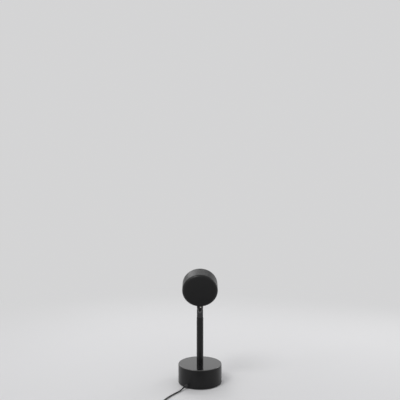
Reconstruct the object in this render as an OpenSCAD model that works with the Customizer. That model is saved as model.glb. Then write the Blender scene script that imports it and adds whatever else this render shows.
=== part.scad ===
// Sunset projection lamp: a weighted round base, a straight pole, a tilting drum head
// with a convex lens, and a thin low-voltage lead with an in-line switch and a plug.
// +Z is up, the origin is the centre of the base's underside, and the beam points to +Y.

/* [Base] */
// Outer diameter of the base
base_d = 90; // [82:1:110]
// Height of the base's top face above the table
base_h = 38.5; // [34:0.5:48]
// Thickness of the base shell's side wall
base_wall = 2.5; // [1.5:0.25:3]
// Thickness of the base shell's top
base_top = 3; // [2:0.25:4]
// Bevel on the top rim
base_bevel = 0.8; // [0.4:0.1:1.5]
// Thickness of the foam foot pad
pad_t = 1.5; // [1:0.25:3]
// Width of the pad's setback from the shell's outside
pad_setback = 5; // [4.5:0.25:8]
// Thickness of the steel base plate
plate_t = 1.6; // [1:0.1:2.5]
// Gap between the table and the shell's lower edge
shell_lift = 1; // [0.5:0.25:1.25]
// Thickness of the iron counterweight
weight_t = 15; // [10:0.5:16]
// Gap between the counterweight and the shell's inside
weight_gap = 3.5; // [2:0.5:6]
// Distance of the three shell posts from the axis
post_r = 31; // [29:0.5:33]
// Diameter of the shell posts
post_d = 8; // [7:0.5:9]

/* [Pole] */
// Outer diameter of the pole tube
pole_d = 14; // [12.5:0.5:15]
// Length of the pole tube above the base
pole_len = 95; // [70:1:140]
// Wall of the pole tube
pole_wall = 2; // [1.5:0.25:2.25]
// Bore of the threaded stud
stud_bore = 6; // [5:0.25:6.5]
// Length of the stud inside the pole
stud_in_pole = 20; // [12:1:30]
// Width across the flats of the pole nut
pole_nut_af = 14; // [13:0.5:16]
// Height of the pole nut
pole_nut_h = 5; // [3:0.5:6]
// Diameter of the pole washer
pole_washer_d = 20; // [18:0.5:24]
// Thickness of the pole washer
pole_washer_t = 1.5; // [1:0.25:2]

/* [Neck and hinge] */
// Diameter of the neck
neck_d = 13; // [12:0.25:14]
// Height of the hinge axis above the pole's top
hinge_rise = 18; // [15:0.5:24]
// Length of the neck's spigot inside the pole
spigot_len = 14; // [8:1:25]
// Radial running clearance of the spigot in the pole
spigot_clear = 0.05; // [0.02:0.01:0.1]
// Width of the hinge tongue
tongue_w = 5; // [4.5:0.25:5.5]
// Radius of the tongue's nose about the hinge axis
tongue_r = 6; // [5.75:0.25:6.25]
// Gap at each side of the tongue, filled by a friction washer
washer_t = 0.3; // [0.2:0.05:0.5]
// Diameter of the pivot bolt
pivot_d = 3; // [2.5:0.1:3]
// Radial running clearance of the pivot bolt
pivot_clear = 0.05; // [0.02:0.01:0.1]
// Distance from the hinge axis to the drum's side wall
hinge_drop = 10; // [9:0.25:14]
// Tilt of the head above the horizontal at rest
head_tilt = 20; // [0:1:45]

/* [Head] */
// Outer diameter of the drum
head_d = 73; // [66:0.5:90]
// Length of the drum from its rear face to its front rim
head_len = 31; // [29:0.5:40]
// Radius of the drum's rounded rear edge
head_round = 5.5; // [2:0.25:5.75]
// Wall of the drum's side
head_wall = 2; // [1.5:0.25:2.5]
// Thickness of the drum's rear wall
head_back = 2.5; // [2:0.25:4]
// Distance of the hinge axis in front of the drum's rear face
hinge_back = 10.5; // [10:0.25:12]
// Diameter of the glass lens
lens_d = 46.8; // [40:0.2:48]
// Edge thickness of the lens
lens_edge = 3; // [2:0.25:4]
// Height of the lens's dome above its edge
lens_dome = 8; // [5:0.5:12]
// How far the front bezel stands out of the drum's rim
bezel_out = 6; // [4:0.5:9]
// Width of the gold lens ring's face
ring_w = 5.5; // [4:0.25:6]
// Thickness of the gold lens ring's face
ring_t = 2.5; // [1.5:0.25:4]

/* [Light engine] */
// Diameter of the heat sink's disc
sink_d = 60; // [54:1:62]
// Thickness of the heat sink's disc
sink_t = 4; // [3:0.5:5]
// Height of the heat sink's fins above its disc
fin_h = 5.5; // [4:0.5:7]
// Number of heat sink fins
fin_n = 20; // [12:1:24]
// Diameter of the light source's round board
led_board_d = 27; // [25:0.5:28]
// Thickness of the light source's board
led_board_t = 1.6; // [1:0.1:2]
// Outer diameter of the filter tube
filter_tube_d = 35; // [34:0.5:37]
// Wall of the filter tube
filter_tube_wall = 2; // [1.5:0.25:2]
// Thickness of the gradient filter glass
filter_t = 1.1; // [0.8:0.1:2]

/* [Lead] */
// Diameter of the lead
cord_d = 2.8; // [2.4:0.1:3]
// Diameter of the coil at the middle of its turns
coil_mid_d = 32; // [30:0.5:36]
// Length of the in-line switch's case
switch_l = 44; // [40:1:50]
// Width of the in-line switch's case
switch_w = 16; // [15:0.5:18]
// Height of the in-line switch's case
switch_h = 12; // [11:0.5:13]
// Diameter of the switch button
button_d = 9; // [7:0.5:10]
// Travel of the switch button
button_travel = 1.5; // [1:0.25:1.75]
// Length of the plug's overmould
plug_l = 30; // [26:1:36]
// Width of the plug's overmould
plug_w = 15; // [14.5:0.5:17]
// Height of the plug's overmould
plug_h = 8; // [7.5:0.25:9]

/* [Hidden] */
$fn = 96;
// Smallest cut-through allowance, so that a cut passes both faces
cut = 1;
// Gap that keeps neighbouring bought-in pieces from binding
loose = 0.3;
// Radial gap in a screwed or threaded pair
thread_gap = 0.05;
// Width of a hex socket or a cross recess as a share of its screw
socket_share = 0.75;

// Base stack, from the table up
plate_z = pad_t;
weight_z = plate_z + plate_t;
weight_top = weight_z + weight_t;
top_z = base_h - base_top;
inner_r = base_d / 2 - base_wall;
plate_r = inner_r - loose;
weight_r = inner_r - weight_gap;
post_angles = [30, 150, 270];
post_screw_d = 4;
post_screw_head_d = 7;
post_screw_head_h = 3;
post_screw_bite = 9;
plate_screw_d = 3;
plate_screw_head_d = 5.6;
plate_screw_bite = 7;
plate_screw_r = 24;
plate_screw_angles = [90, 210, 330];

// Lead's way out of the base, seen from above
exit_angle = 234;
exit_z = 4.5;
gland_barrel_d = 6;
gland_flange_d = 8;
gland_flange_t = 1.4;
gland_nose_len = 5;
gland_clear = 0.1;
gland_slot_w = 11;
gland_slot_r = 22;
gland_taper = 0.6;
boot_lip = 1;

// Driver board on the counterweight
board_l = 36;
board_w = 20;
board_t = 1.6;
board_setback = 5;
board_y = weight_r - board_w / 2 - board_setback;
board_rise = 3;
board_post_d = 5;
board_hole_x = 14;
board_hole_y = 7;
board_screw_d = 2;
board_z = weight_top + board_rise;
board_screw_head_d = 3.6;
board_screw_head_h = 1.3;
board_screw_tip = 0.5;
terminal_l = 7;
terminal_w = 6;
terminal_h = 5;
terminal_wall = 1;
terminal_mouth = 1.5;
terminal_x = board_hole_x - board_screw_head_d / 2 - loose - terminal_l / 2;
coil_part_d = 7;
coil_part_h = 5;
coil_part_x = 4;
capacitor_d = 6;
capacitor_h = 7;
chip_l = 5;
chip_w = 4;
chip_h = 1.6;
parts_back = 5;

// Pole
pole_r = pole_d / 2;
pole_bore = pole_d - 2 * pole_wall;
pole_top = base_h + pole_len;
stud_fit_d = pole_bore - 2 * thread_gap;
stud_past_nut = 2.5;
stud_below = pole_washer_t + pole_nut_h + stud_past_nut;
wire_d = 2.4;
wire_rise = 4;
wire_end = 1;
head_wire_d = 2;

// Neck and hinge
hinge_z = pole_top + hinge_rise;
slot_w = tongue_w + 2 * washer_t;
slot_clear = 1.5;
slot_floor = hinge_z - tongue_r - slot_clear;
bolt_head_d = 5.5;
bolt_head_h = 2;
nut_af = 5.5;
nut_h = 2.2;
wire_hole_d = 2.4;
wire_hole_y = 3.6;

neck_bore = 5;
neck_seat = 0.1;
bolt_seat = 4.4;
nut_seat = 4;
washer_d = 9;
washer_float = 0.02;
grub_d = 3;
grub_socket_d = 1.6;
grub_socket_h = 1;
groove_d = 8.2;
groove_w = 3.6;

// Head, measured along the drum's axis from its rear face
head_r = head_d / 2;
head_in_r = head_r - head_wall;
drum_rise = head_r + hinge_drop;
flat_cut = 0.5;
flat_r = head_r - flat_cut;
foot_t = 2.5;
foot_w = 11;
foot_back = 6;
foot_front = 10;
foot_screw_d = 3;
foot_screw_head_d = 5.5;
foot_screw_head_h = 1.9;
foot_screw_y = [-2.1, 7.3];
foot_screw_lift = 0.15;
foot_z = drum_rise - flat_r - foot_t;
corner = 3;
pedestal_lip = 0.5;
pedestal_r = led_board_d / 2 + pedestal_lip;
pedestal_h = 3.5;
sink_a = head_back;
pedestal_top = sink_a + sink_t + pedestal_h;
thermal_pad_t = 0.5;
led_a = pedestal_top + thermal_pad_t;
led_face = led_a + led_board_t;
led_package = 7;
led_package_t = 1;
led_dome_r = 2.8;
led_screw_r = 10;
led_screw_d = 2.5;
led_screw_bite = 4;
led_screw_tip = 0.5;
led_screw_head_d = 4.4;
led_screw_head_h = 1.6;
fin_setback = 1;
fin_in_r = filter_tube_d / 2 + fin_setback;
fin_out_r = sink_d / 2 - fin_setback / 2;
fin_t = 1.4;
sink_screw_r = 23;
sink_screw_d = 3;
sink_screw_bite = 1.6;
sink_screw_head_d = 4.6;
sink_screw_head_h = 2;
// The sink's screws stand midway between two fins
sink_screw_angles = [for (k = [0 : 2]) (floor(k * fin_n / 3) + 0.5) * 360 / fin_n];
tube_a = sink_a + sink_t;
bezel_a = head_len;
bezel_spigot = 6;
bezel_wall = 4;
bezel_front = bezel_a + bezel_out;
bezel_face_r = lens_d / 2 + ring_w;
lens_r = lens_d / 2;
lens_gap = 0.2;
lens_sunk = 0.6;
lens_a = bezel_front - lens_edge - lens_sunk;
lens_seat_w = 1.6;
light_r = lens_r - lens_seat_w;
lens_shelf_t = 2;
tube_front = lens_a - lens_shelf_t;
tube_in_r = filter_tube_d / 2 - filter_tube_wall;
filter_r = tube_in_r - lens_gap;
filter_rise = 9;
filter_a = led_face + filter_rise;
shelf_t = 1.5;
shelf_w = 3;
shelf_r = tube_in_r - shelf_w;
clip_t = 1;
clip_w = 1.6;
clip_gap = 4;
ring_edge = 0.7;
bezel_edge = 0.6;
bezel_rim = 1;

// Lead, switch, coil and plug; the points of its route are [x, y, z]
exit_r = base_d / 2 + gland_flange_t + gland_nose_len;
exit_x = cos(exit_angle);
exit_y = sin(exit_angle);
switch_x = -22;
switch_y = -137;
switch_lead_z = 5;
boot_l = 6;
case_wall = 1.5;
boot_barrel_d = 4.6;
boot_hold = 1;
boot_in_x = switch_l / 2 - case_wall - boot_hold;
switch_corner = 3.5;
switch_screw_x = 15.5;
switch_screw_d = 2;
switch_screw_head_d = 3.8;
switch_screw_head_h = 1.4;
switch_screw_bite = 3.5;
switch_post_d = 5;
switch_board_l = 24;
switch_board_w = 12;
switch_board_z = 2;
switch_block_w = 10;
button_flange_t = 1.2;
button_flange_top = switch_h - case_wall - loose;
button_rest = 0.5;
button_proud = button_travel + button_rest;
switch_block_top = button_flange_top - button_flange_t - button_travel - loose;
button_bevel = 0.8;
button_flange_w = 1;
stem_d = 4;
stem_clear = 0.5;
block_floor_t = 0.4;
stem_z = switch_board_z + board_t + block_floor_t + stem_clear + button_travel;
core_d = 1.2;
core_apart = 0.9;
board_edge = 2.5;
tie_gap = 0.3;
plug_corner = 3;
tongue_t = 1.8;
boot_d = 6;
case_split = 6.5;
coil_x = 36;
coil_y = -155;
// Turns of the coil in one layer, and its layers
coil_turns = 3;
coil_layers = 4;
coil_pitch = 3.3;
coil_lift = 0.9;
coil_step = 15;
coil_z = cord_d / 2 + coil_lift;
tie_t = 0.7;
tie_w = 9;
plug_y = -169;
plug_x = -8;
plug_shell_l = 14;
plug_shell_w = 12;
plug_shell_h = 4.5;
plug_shell_t = 0.4;
plug_hole = 2.4;
tongue_gap = 0.1;
tongue_setback = 1.5;
contact_apart = 2.3;
contact_w = 1.2;
contact_t = 0.2;
contact_back = 2;
lead_points = [[-34, -46.5, 3.9], [-36.2, -49.6, 2.7], [-38.6, -53, 1.8], [-41.5, -57, 1.4],
    [-46, -63, 1.4], [-51, -70, 1.4], [-56, -77.5, 1.4], [-61, -85.5, 1.4], [-65.5, -94.5, 1.4],
    [-69, -104, 1.4], [-71, -113, 1.4], [-71, -121, 1.6], [-68.5, -128, 2.2], [-64, -133, 3],
    [-59, -136, 4], [-55, -137, 4.8], [-52.8, -137, 5], [-50, -137, 5]];
link_points = [[6, -137, 5], [8.8, -137, 5], [14, -136.8, 4.4], [20, -136, 3.2], [26, -134.6, 2.5],
    [30.4, -134.05, 2.3], [33.2, -134.05, 2.3]];
tail_points = [[33.2, -174.3, 12.2], [30.4, -174.3, 12.2], [26, -174.2, 12], [21, -173.8, 11],
    [15, -172.6, 8.6], [9.5, -171, 6], [5, -169.6, 4.4], [0.8, -169, 4], [-2, -169, 4]];
base_lead_points = [[-22.3, -30.7, 4.5], [-18.8, -25.9, 8], [-15.9, -21.8, 14], [-14.3, -19, 19.6],
    [-13, -13.5, 21.6], [-11.2, -5, 22], [-9, 4, 23]];

// A tube swept along points with parallel rings; each ring turns halfway between its neighbours
function unit(v) = v / norm(v);
function way(p, i) = unit(p[min(i + 1, len(p) - 1)] - p[max(i - 1, 0)]);
function ring(c, t, r, sides, up) = let (s = unit(cross(up, t)), u = cross(t, s))
    [for (k = [0 : sides - 1]) c + r * (cos(360 * (k + 0.5) / sides) * s
        + sin(360 * (k + 0.5) / sides) * u)];

module sweep(points, d, sides, up) {
    n = len(points);
    rings = [for (i = [0 : n - 1]) each ring(points[i], way(points, i), d / 2, sides, up)];
    walls = [for (i = [0 : n - 2], k = [0 : sides - 1]) let (m = (k + 1) % sides)
        each [[i * sides + k, (i + 1) * sides + k, i * sides + m],
            [i * sides + m, (i + 1) * sides + k, (i + 1) * sides + m]]];
    start = [for (k = [1 : sides - 2]) [0, k, k + 1]];
    finish = [for (k = [1 : sides - 2]) (n - 1) * sides * [1, 1, 1] + [0, k + 1, k]];
    polyhedron(rings, concat(walls, start, finish));
}

// Places of the base's and the lead's pieces
module at_exit() {
    rotate([0, 0, exit_angle]) translate([0, 0, exit_z]) children();
}
module round_about(angles, r) {
    for (a = angles) rotate([0, 0, a]) translate([r, 0, 0]) children();
}
module along_x() {
    rotate([0, 90, 0]) children();
}
// A disc with a bevelled top edge
module bevelled_disc(d, h, bevel) {
    cylinder(d = d, h = h - bevel);
    translate([0, 0, h - bevel]) cylinder(d1 = d, d2 = d - 2 * bevel, h = bevel);
}
// A block with round upright corners, centred in X and Y, standing on z = 0
module rounded_block(l, w, h, r) {
    translate([-l / 2 + r, -w / 2, 0]) cube([l - 2 * r, w, h]);
    translate([-l / 2, -w / 2 + r, 0]) cube([l, w - 2 * r, h]);
    for (x = [-1, 1], y = [-1, 1]) translate([x * (l / 2 - r), y * (w / 2 - r), 0])
        cylinder(r = r, h = h, $fn = 48);
}
module hex_socket(screw_d, depth) {
    cylinder(d = screw_d * socket_share, h = depth, $fn = 6);
}
module hexagon_nut(af, h, bore) {
    difference() {
        cylinder(d = af / cos(30), h = h, $fn = 6);
        translate([0, 0, -cut]) cylinder(d = bore, h = h + 2 * cut);
    }
}

// Base
module base_shell() {
    color("#18181a") difference() {
        union() {
            difference() {
                translate([0, 0, shell_lift]) bevelled_disc(base_d, base_h - shell_lift, base_bevel);
                translate([0, 0, -cut]) cylinder(r = inner_r, h = top_z + cut);
            }
            round_about(post_angles, post_r)
                translate([0, 0, weight_top]) cylinder(d = post_d, h = top_z - weight_top + cut);
        }
        translate([0, 0, top_z - cut])
            cylinder(d = stud_fit_d + 2 * thread_gap, h = base_top + 2 * cut);
        round_about(post_angles, post_r) translate([0, 0, weight_top - cut])
            cylinder(d = post_screw_d + 2 * thread_gap, h = post_screw_bite + 2 * cut);
        at_exit() {
            translate([inner_r - cut, 0, 0]) along_x()
                cylinder(d = gland_barrel_d + 2 * gland_clear, h = base_wall + 2 * cut);
            translate([inner_r - cut, -gland_barrel_d / 2 - gland_clear, -exit_z])
                cube([base_wall + 2 * cut, gland_barrel_d + 2 * gland_clear, exit_z]);
        }
    }
}
module gland_notch(from_r, z, h) {
    rotate([0, 0, exit_angle]) translate([from_r, -gland_slot_w / 2, z - cut])
        cube([base_d / 2 - from_r, gland_slot_w, h + 2 * cut]);
}
module counterweight() {
    color("#3c3d40") difference() {
        union() {
            translate([0, 0, weight_z]) cylinder(r = weight_r, h = weight_t);
            for (x = [-1, 1], y = [-1, 1])
                translate([x * board_hole_x, board_y + y * board_hole_y, weight_top - cut])
                    cylinder(d = board_post_d, h = board_rise + cut, $fn = 48);
        }
        gland_notch(gland_slot_r, weight_z, weight_t);
        round_about(post_angles, post_r) translate([0, 0, weight_z - cut]) {
            cylinder(d = post_screw_d + 2 * loose, h = weight_t + 2 * cut);
            cylinder(d = post_screw_head_d + 2 * loose, h = post_screw_head_h + loose + cut);
        }
        round_about(plate_screw_angles, plate_screw_r) translate([0, 0, weight_z - cut])
            cylinder(d = plate_screw_d + 2 * thread_gap, h = plate_screw_bite + 2 * cut);
        for (x = [-1, 1], y = [-1, 1])
            translate([x * board_hole_x, board_y + y * board_hole_y, weight_top - cut])
                cylinder(d = board_screw_d + 2 * thread_gap, h = board_rise + 2 * cut, $fn = 48);
    }
}
module counterweight_screws() {
    color("#8d9096") round_about(post_angles, post_r)
        translate([0, 0, weight_z + loose]) difference() {
            union() {
                cylinder(d = post_screw_head_d, h = post_screw_head_h);
                cylinder(d = post_screw_d, h = weight_t - loose + post_screw_bite);
            }
            translate([0, 0, -cut]) hex_socket(post_screw_d, cut + post_screw_head_h / 2);
        }
}
module base_plate() {
    color("#5a5c60") difference() {
        translate([0, 0, plate_z]) cylinder(r = plate_r, h = plate_t);
        gland_notch(inner_r - gland_flange_t - 2 * loose, plate_z, plate_t);
        round_about(plate_screw_angles, plate_screw_r) translate([0, 0, plate_z])
            cylinder(d1 = plate_screw_head_d + loose, d2 = plate_screw_d + loose, h = plate_t);
    }
}
module base_plate_screws() {
    color("#8d9096") round_about(plate_screw_angles, plate_screw_r) translate([0, 0, plate_z])
        difference() {
            union() {
                cylinder(d1 = plate_screw_head_d, d2 = plate_screw_d, h = plate_t);
                cylinder(d = plate_screw_d, h = plate_t + plate_screw_bite);
            }
            translate([0, 0, -cut]) hex_socket(plate_screw_d, cut + plate_t / 2);
        }
}
module foot_pad() {
    color("#0f0f10") cylinder(d = base_d - 2 * pad_setback, h = pad_t);
}
module lead_gland() {
    color("#141415") at_exit() {
        difference() {
            translate([base_d / 2 - cut, 0, 0]) along_x()
                cylinder(d = gland_flange_d, h = cut + gland_flange_t);
            translate([0, 0, -base_h]) cylinder(d = base_d, h = 2 * base_h);
        }
        translate([inner_r - loose, 0, 0]) along_x()
            cylinder(d = gland_barrel_d, h = base_wall + loose + gland_flange_t);
        translate([base_d / 2 + gland_flange_t, 0, 0]) along_x()
            cylinder(d1 = gland_barrel_d - gland_taper, d2 = cord_d + boot_lip, h = gland_nose_len);
        intersection() {
            translate([inner_r - gland_flange_t, 0, 0]) along_x()
                cylinder(d = gland_flange_d, h = gland_flange_t + cut);
            translate([0, 0, -base_h]) cylinder(r = inner_r, h = 2 * base_h);
        }
    }
}
module driver_board() {
    color("#1f5a3c") difference() {
        translate([-board_l / 2, board_y - board_w / 2, board_z]) cube([board_l, board_w, board_t]);
        for (x = [-1, 1], y = [-1, 1])
            translate([x * board_hole_x, board_y + y * board_hole_y, board_z - cut])
                cylinder(d = board_screw_d + loose, h = board_t + 2 * cut, $fn = 48);
    }
}
module driver_parts() {
    color("#26262a") translate([0, board_y, board_z + board_t]) {
        translate([coil_part_x, parts_back, 0]) cylinder(d = coil_part_d, h = coil_part_h);
        translate([-coil_part_x, parts_back, 0]) cylinder(d = capacitor_d, h = capacitor_h);
        translate([-chip_l / 2, -parts_back, 0]) cube([chip_l, chip_w, chip_h]);
    }
}
module driver_terminals() {
    color("#e9e6dc") for (x = [-1, 1])
        translate([x * terminal_x - terminal_l / 2, board_y - board_w / 2, board_z + board_t])
            difference() {
                cube([terminal_l, terminal_w, terminal_h]);
                translate([terminal_wall, terminal_w - terminal_mouth, terminal_wall])
                    cube([terminal_l - 2 * terminal_wall, terminal_mouth + cut,
                        terminal_h - 2 * terminal_wall]);
            }
}
module board_screws() {
    color("#b9bcc2") for (x = [-1, 1], y = [-1, 1])
        translate([x * board_hole_x, board_y + y * board_hole_y, board_z + board_t]) {
            cylinder(d = board_screw_head_d, h = board_screw_head_h, $fn = 48);
            translate([0, 0, board_screw_tip - board_t - board_rise])
                cylinder(d = board_screw_d, h = board_t + board_rise - board_screw_tip, $fn = 48);
        }
}
module base_lead() {
    gland_end = inner_r - gland_flange_t;
    entry = [[gland_end * exit_x, gland_end * exit_y, exit_z]];
    terminal_in = [for (back = [1.5 * cord_d, cord_d, 0]) [-terminal_x, board_y - board_w / 2 - back,
        board_z + board_t + terminal_h / 2]];
    color("#1c1c1e") sweep(concat(entry, base_lead_points, terminal_in), cord_d, 8, [0, 0, 1]);
}

// Pole
module pole_wire() {
    y = board_y - board_w / 2;
    z = board_z + board_t + terminal_h / 2;
    turn = [[terminal_x, y, z], [terminal_x, y - wire_d, z], [7.4, 8.2, z - 1], [6, 4.2, z - 2.6],
        [3.4, 1.2, z - 3], [1.2, 0.2, z - 1.6], [0.2, 0, z + 1], [0, 0, z + wire_rise]];
    color("#c9c9c4") {
        sweep(turn, wire_d, 8, [1, -1, 0]);
        translate([0, 0, z + wire_rise])
            cylinder(d = wire_d, h = slot_floor - wire_end - z - wire_rise, $fn = 48);
    }
}
module pole_stud() {
    color("#a9a48c") difference() {
        translate([0, 0, top_z - stud_below])
            cylinder(d = stud_fit_d, h = stud_below + base_top + stud_in_pole);
        translate([0, 0, top_z - stud_below - cut])
            cylinder(d = stud_bore, h = stud_below + base_top + stud_in_pole + 2 * cut);
    }
}
module pole_washer() {
    color("#b9bcc2") translate([0, 0, top_z - pole_washer_t]) difference() {
        cylinder(d = pole_washer_d, h = pole_washer_t);
        translate([0, 0, -cut]) cylinder(d = stud_fit_d + loose, h = pole_washer_t + 2 * cut);
    }
}
module pole_nut() {
    color("#b9bcc2") translate([0, 0, top_z - pole_washer_t - pole_nut_h])
        hexagon_nut(pole_nut_af, pole_nut_h, stud_fit_d + 2 * thread_gap);
}
module pole_tube() {
    color("#151517") difference() {
        translate([0, 0, base_h]) cylinder(d = pole_d, h = pole_len);
        translate([0, 0, base_h - cut]) cylinder(d = pole_bore, h = pole_len + 2 * cut);
        translate([0, 0, pole_top - spigot_len / 2]) rotate([-90, 0, 0])
            cylinder(d = grub_d + 2 * thread_gap, h = pole_d, $fn = 48);
    }
}
module neck_grub() {
    color("#5f6166") translate([0, groove_d / 2 + loose, pole_top - spigot_len / 2]) rotate([-90, 0, 0])
        difference() {
            cylinder(d = grub_d, h = pole_r - groove_d / 2 - 2 * loose, $fn = 48);
            translate([0, 0, pole_r - groove_d / 2 - 2 * loose - grub_socket_h])
                cylinder(d = grub_socket_d, h = grub_socket_h + cut, $fn = 6);
        }
}

// Neck and hinge
module neck_fork() {
    color("#202023") difference() {
        union() {
            translate([0, 0, pole_top - spigot_len])
                cylinder(d = pole_bore - 2 * spigot_clear, h = spigot_len + 2 * neck_seat);
            intersection() {
                translate([0, 0, pole_top + neck_seat]) cylinder(d = neck_d, h = hinge_rise + neck_d);
                union() {
                    translate([-neck_d, 0, hinge_z]) along_x() cylinder(d = neck_d, h = 2 * neck_d);
                    translate([-neck_d, -neck_d, pole_top]) cube([2 * neck_d, 2 * neck_d, hinge_rise]);
                }
            }
        }
        difference() {
            translate([0, 0, pole_top - (spigot_len + groove_w) / 2]) cylinder(d = pole_d, h = groove_w);
            translate([0, 0, pole_top - spigot_len]) cylinder(d = groove_d, h = spigot_len);
        }
        translate([0, 0, pole_top - spigot_len - cut])
            cylinder(d = neck_bore, h = slot_floor - pole_top + spigot_len + 2 * cut);
        translate([-slot_w / 2, -neck_d, slot_floor]) cube([slot_w, 2 * neck_d, neck_d + tongue_r]);
        translate([-neck_d, 0, hinge_z]) along_x()
            cylinder(d = pivot_d + 2 * pivot_clear, h = 2 * neck_d);
        translate([bolt_seat, 0, hinge_z]) along_x() cylinder(d = bolt_head_d + loose, h = neck_d);
        translate([-nut_seat - neck_d, 0, hinge_z]) along_x()
            cylinder(d = nut_af / cos(30) + loose, h = neck_d, $fn = 6);
    }
}
module pivot_bolt() {
    color("#c4c7cc") translate([0, 0, hinge_z]) {
        difference() {
            translate([bolt_seat, 0, 0]) along_x() cylinder(d = bolt_head_d, h = bolt_head_h, $fn = 64);
            translate([bolt_seat + bolt_head_h / 2, 0, 0]) along_x()
                hex_socket(pivot_d, bolt_head_h);
        }
        translate([-nut_seat - nut_h, 0, 0]) along_x()
            cylinder(d = pivot_d, h = bolt_seat + nut_seat + nut_h + bolt_head_h / 4);
    }
}
module pivot_nut() {
    color("#c4c7cc") translate([-nut_seat - nut_h, 0, hinge_z]) along_x()
        hexagon_nut(nut_af, nut_h, pivot_d + 2 * thread_gap);
}
module friction_washers() {
    color("#d8d6cf") for (x = [-1, 1])
        translate([x * (tongue_w + washer_t) / 2 - washer_t / 2 + washer_float, 0, hinge_z]) along_x()
            difference() {
                cylinder(d = washer_d, h = washer_t - 2 * washer_float);
                translate([0, 0, -cut]) cylinder(d = pivot_d + 2 * pivot_clear, h = washer_t + 2 * cut);
            }
}

// Head: in_head turns pieces about the hinge, along_beam stands them on the drum's axis,
// with their Z along the beam from the drum's rear face and their +Y down towards the hinge
module in_head() {
    translate([0, 0, hinge_z]) rotate([head_tilt, 0, 0]) children();
}
module along_beam(a) {
    in_head() translate([0, a - hinge_back, drum_rise]) rotate([-90, 0, 0]) children();
}
module hinge_tongue() {
    color("#b8bbc0") in_head() difference() {
        union() {
            translate([-tongue_w / 2, 0, 0]) along_x() cylinder(r = tongue_r, h = tongue_w);
            translate([-tongue_w / 2, -tongue_r, 0]) cube([tongue_w, 2 * tongue_r, foot_z]);
            translate([-foot_w / 2, -foot_back, foot_z]) cube([foot_w, foot_back + foot_front, foot_t]);
        }
        translate([-tongue_w, 0, 0]) along_x() cylinder(d = pivot_d + 2 * pivot_clear, h = 2 * tongue_w);
        translate([0, wire_hole_y, -tongue_r - cut])
            cylinder(d = wire_hole_d, h = foot_z + foot_t + tongue_r + 2 * cut, $fn = 48);
        for (y = foot_screw_y) translate([0, y, foot_z - cut])
            cylinder(d = foot_screw_d + 2 * thread_gap, h = foot_t + 2 * cut, $fn = 48);
    }
}
module tongue_screws() {
    seat = drum_rise - head_in_r + foot_screw_lift;
    color("#9a9da3") in_head() for (y = foot_screw_y) translate([0, y, 0]) difference() {
        union() {
            translate([0, 0, seat]) cylinder(d = foot_screw_head_d, h = foot_screw_head_h, $fn = 48);
            translate([0, 0, foot_z]) cylinder(d = foot_screw_d, h = seat - foot_z + cut / 2, $fn = 48);
        }
        translate([0, 0, seat + foot_screw_head_h / 2])
            hex_socket(foot_screw_d, foot_screw_head_h);
    }
}
module head_shell() {
    color("#19191b") difference() {
        along_beam(0) difference() {
            union() {
                translate([0, 0, head_round]) cylinder(r = head_r, h = head_len - head_round);
                cylinder(r = head_r - head_round, h = head_len - head_round);
                translate([0, 0, head_round]) rotate_extrude()
                    translate([head_r - head_round, 0]) circle(r = head_round);
            }
            translate([0, 0, head_back]) cylinder(r1 = head_in_r - corner, r2 = head_in_r, h = corner);
            translate([0, 0, head_back + corner]) cylinder(r = head_in_r, h = head_len);
            translate([-foot_w / 2 - loose, flat_r, hinge_back - foot_back - loose])
                cube([foot_w + 2 * loose, head_r, foot_back + foot_front + 2 * loose]);
            round_about(sink_screw_angles, sink_screw_r) translate([0, 0, head_back - sink_screw_bite])
                cylinder(d = sink_screw_d + 2 * thread_gap, h = head_back, $fn = 48);
        }
        in_head() {
            for (y = foot_screw_y) translate([0, y, foot_z])
                cylinder(d = foot_screw_d + loose, h = hinge_drop, $fn = 48);
            translate([0, wire_hole_y, foot_z])
                cylinder(d = wire_hole_d + loose, h = hinge_drop, $fn = 48);
        }
    }
}
module heat_sink() {
    color("#9fa3a8") along_beam(sink_a) difference() {
        union() {
            cylinder(d = sink_d, h = sink_t);
            cylinder(r = pedestal_r, h = sink_t + pedestal_h);
            for (k = [0 : fin_n - 1]) rotate([0, 0, k * 360 / fin_n])
                translate([fin_in_r, -fin_t / 2, sink_t / 2])
                    cube([fin_out_r - fin_in_r, fin_t, sink_t / 2 + fin_h]);
        }
        round_about(sink_screw_angles, sink_screw_r) translate([0, 0, -cut])
            cylinder(d = sink_screw_d + loose, h = sink_t + 2 * cut, $fn = 48);
        round_about([0, 180], led_screw_r) translate([0, 0, sink_t + pedestal_h - led_screw_bite])
            cylinder(d = led_screw_d + 2 * thread_gap, h = led_screw_bite + cut, $fn = 48);
    }
}
module sink_screws() {
    color("#8d9096") along_beam(sink_a) round_about(sink_screw_angles, sink_screw_r) difference() {
        union() {
            translate([0, 0, -sink_screw_bite])
                cylinder(d = sink_screw_d, h = sink_screw_bite + sink_t, $fn = 48);
            translate([0, 0, sink_t]) cylinder(d = sink_screw_head_d, h = sink_screw_head_h, $fn = 48);
        }
        translate([0, 0, sink_t + sink_screw_head_h / 2])
            hex_socket(sink_screw_d, sink_screw_head_h);
    }
}
module screw_pair_holes(h) {
    round_about([0, 180], led_screw_r) translate([0, 0, -cut])
        cylinder(d = led_screw_d + loose, h = h + 2 * cut, $fn = 48);
}
module thermal_pad() {
    color("#b7bcc9") along_beam(pedestal_top) difference() {
        cylinder(d = led_board_d, h = thermal_pad_t);
        screw_pair_holes(thermal_pad_t);
    }
}
module led_board() {
    color("#e8e8e4") along_beam(led_a) difference() {
        cylinder(d = led_board_d, h = led_board_t);
        screw_pair_holes(led_board_t);
    }
}
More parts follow.
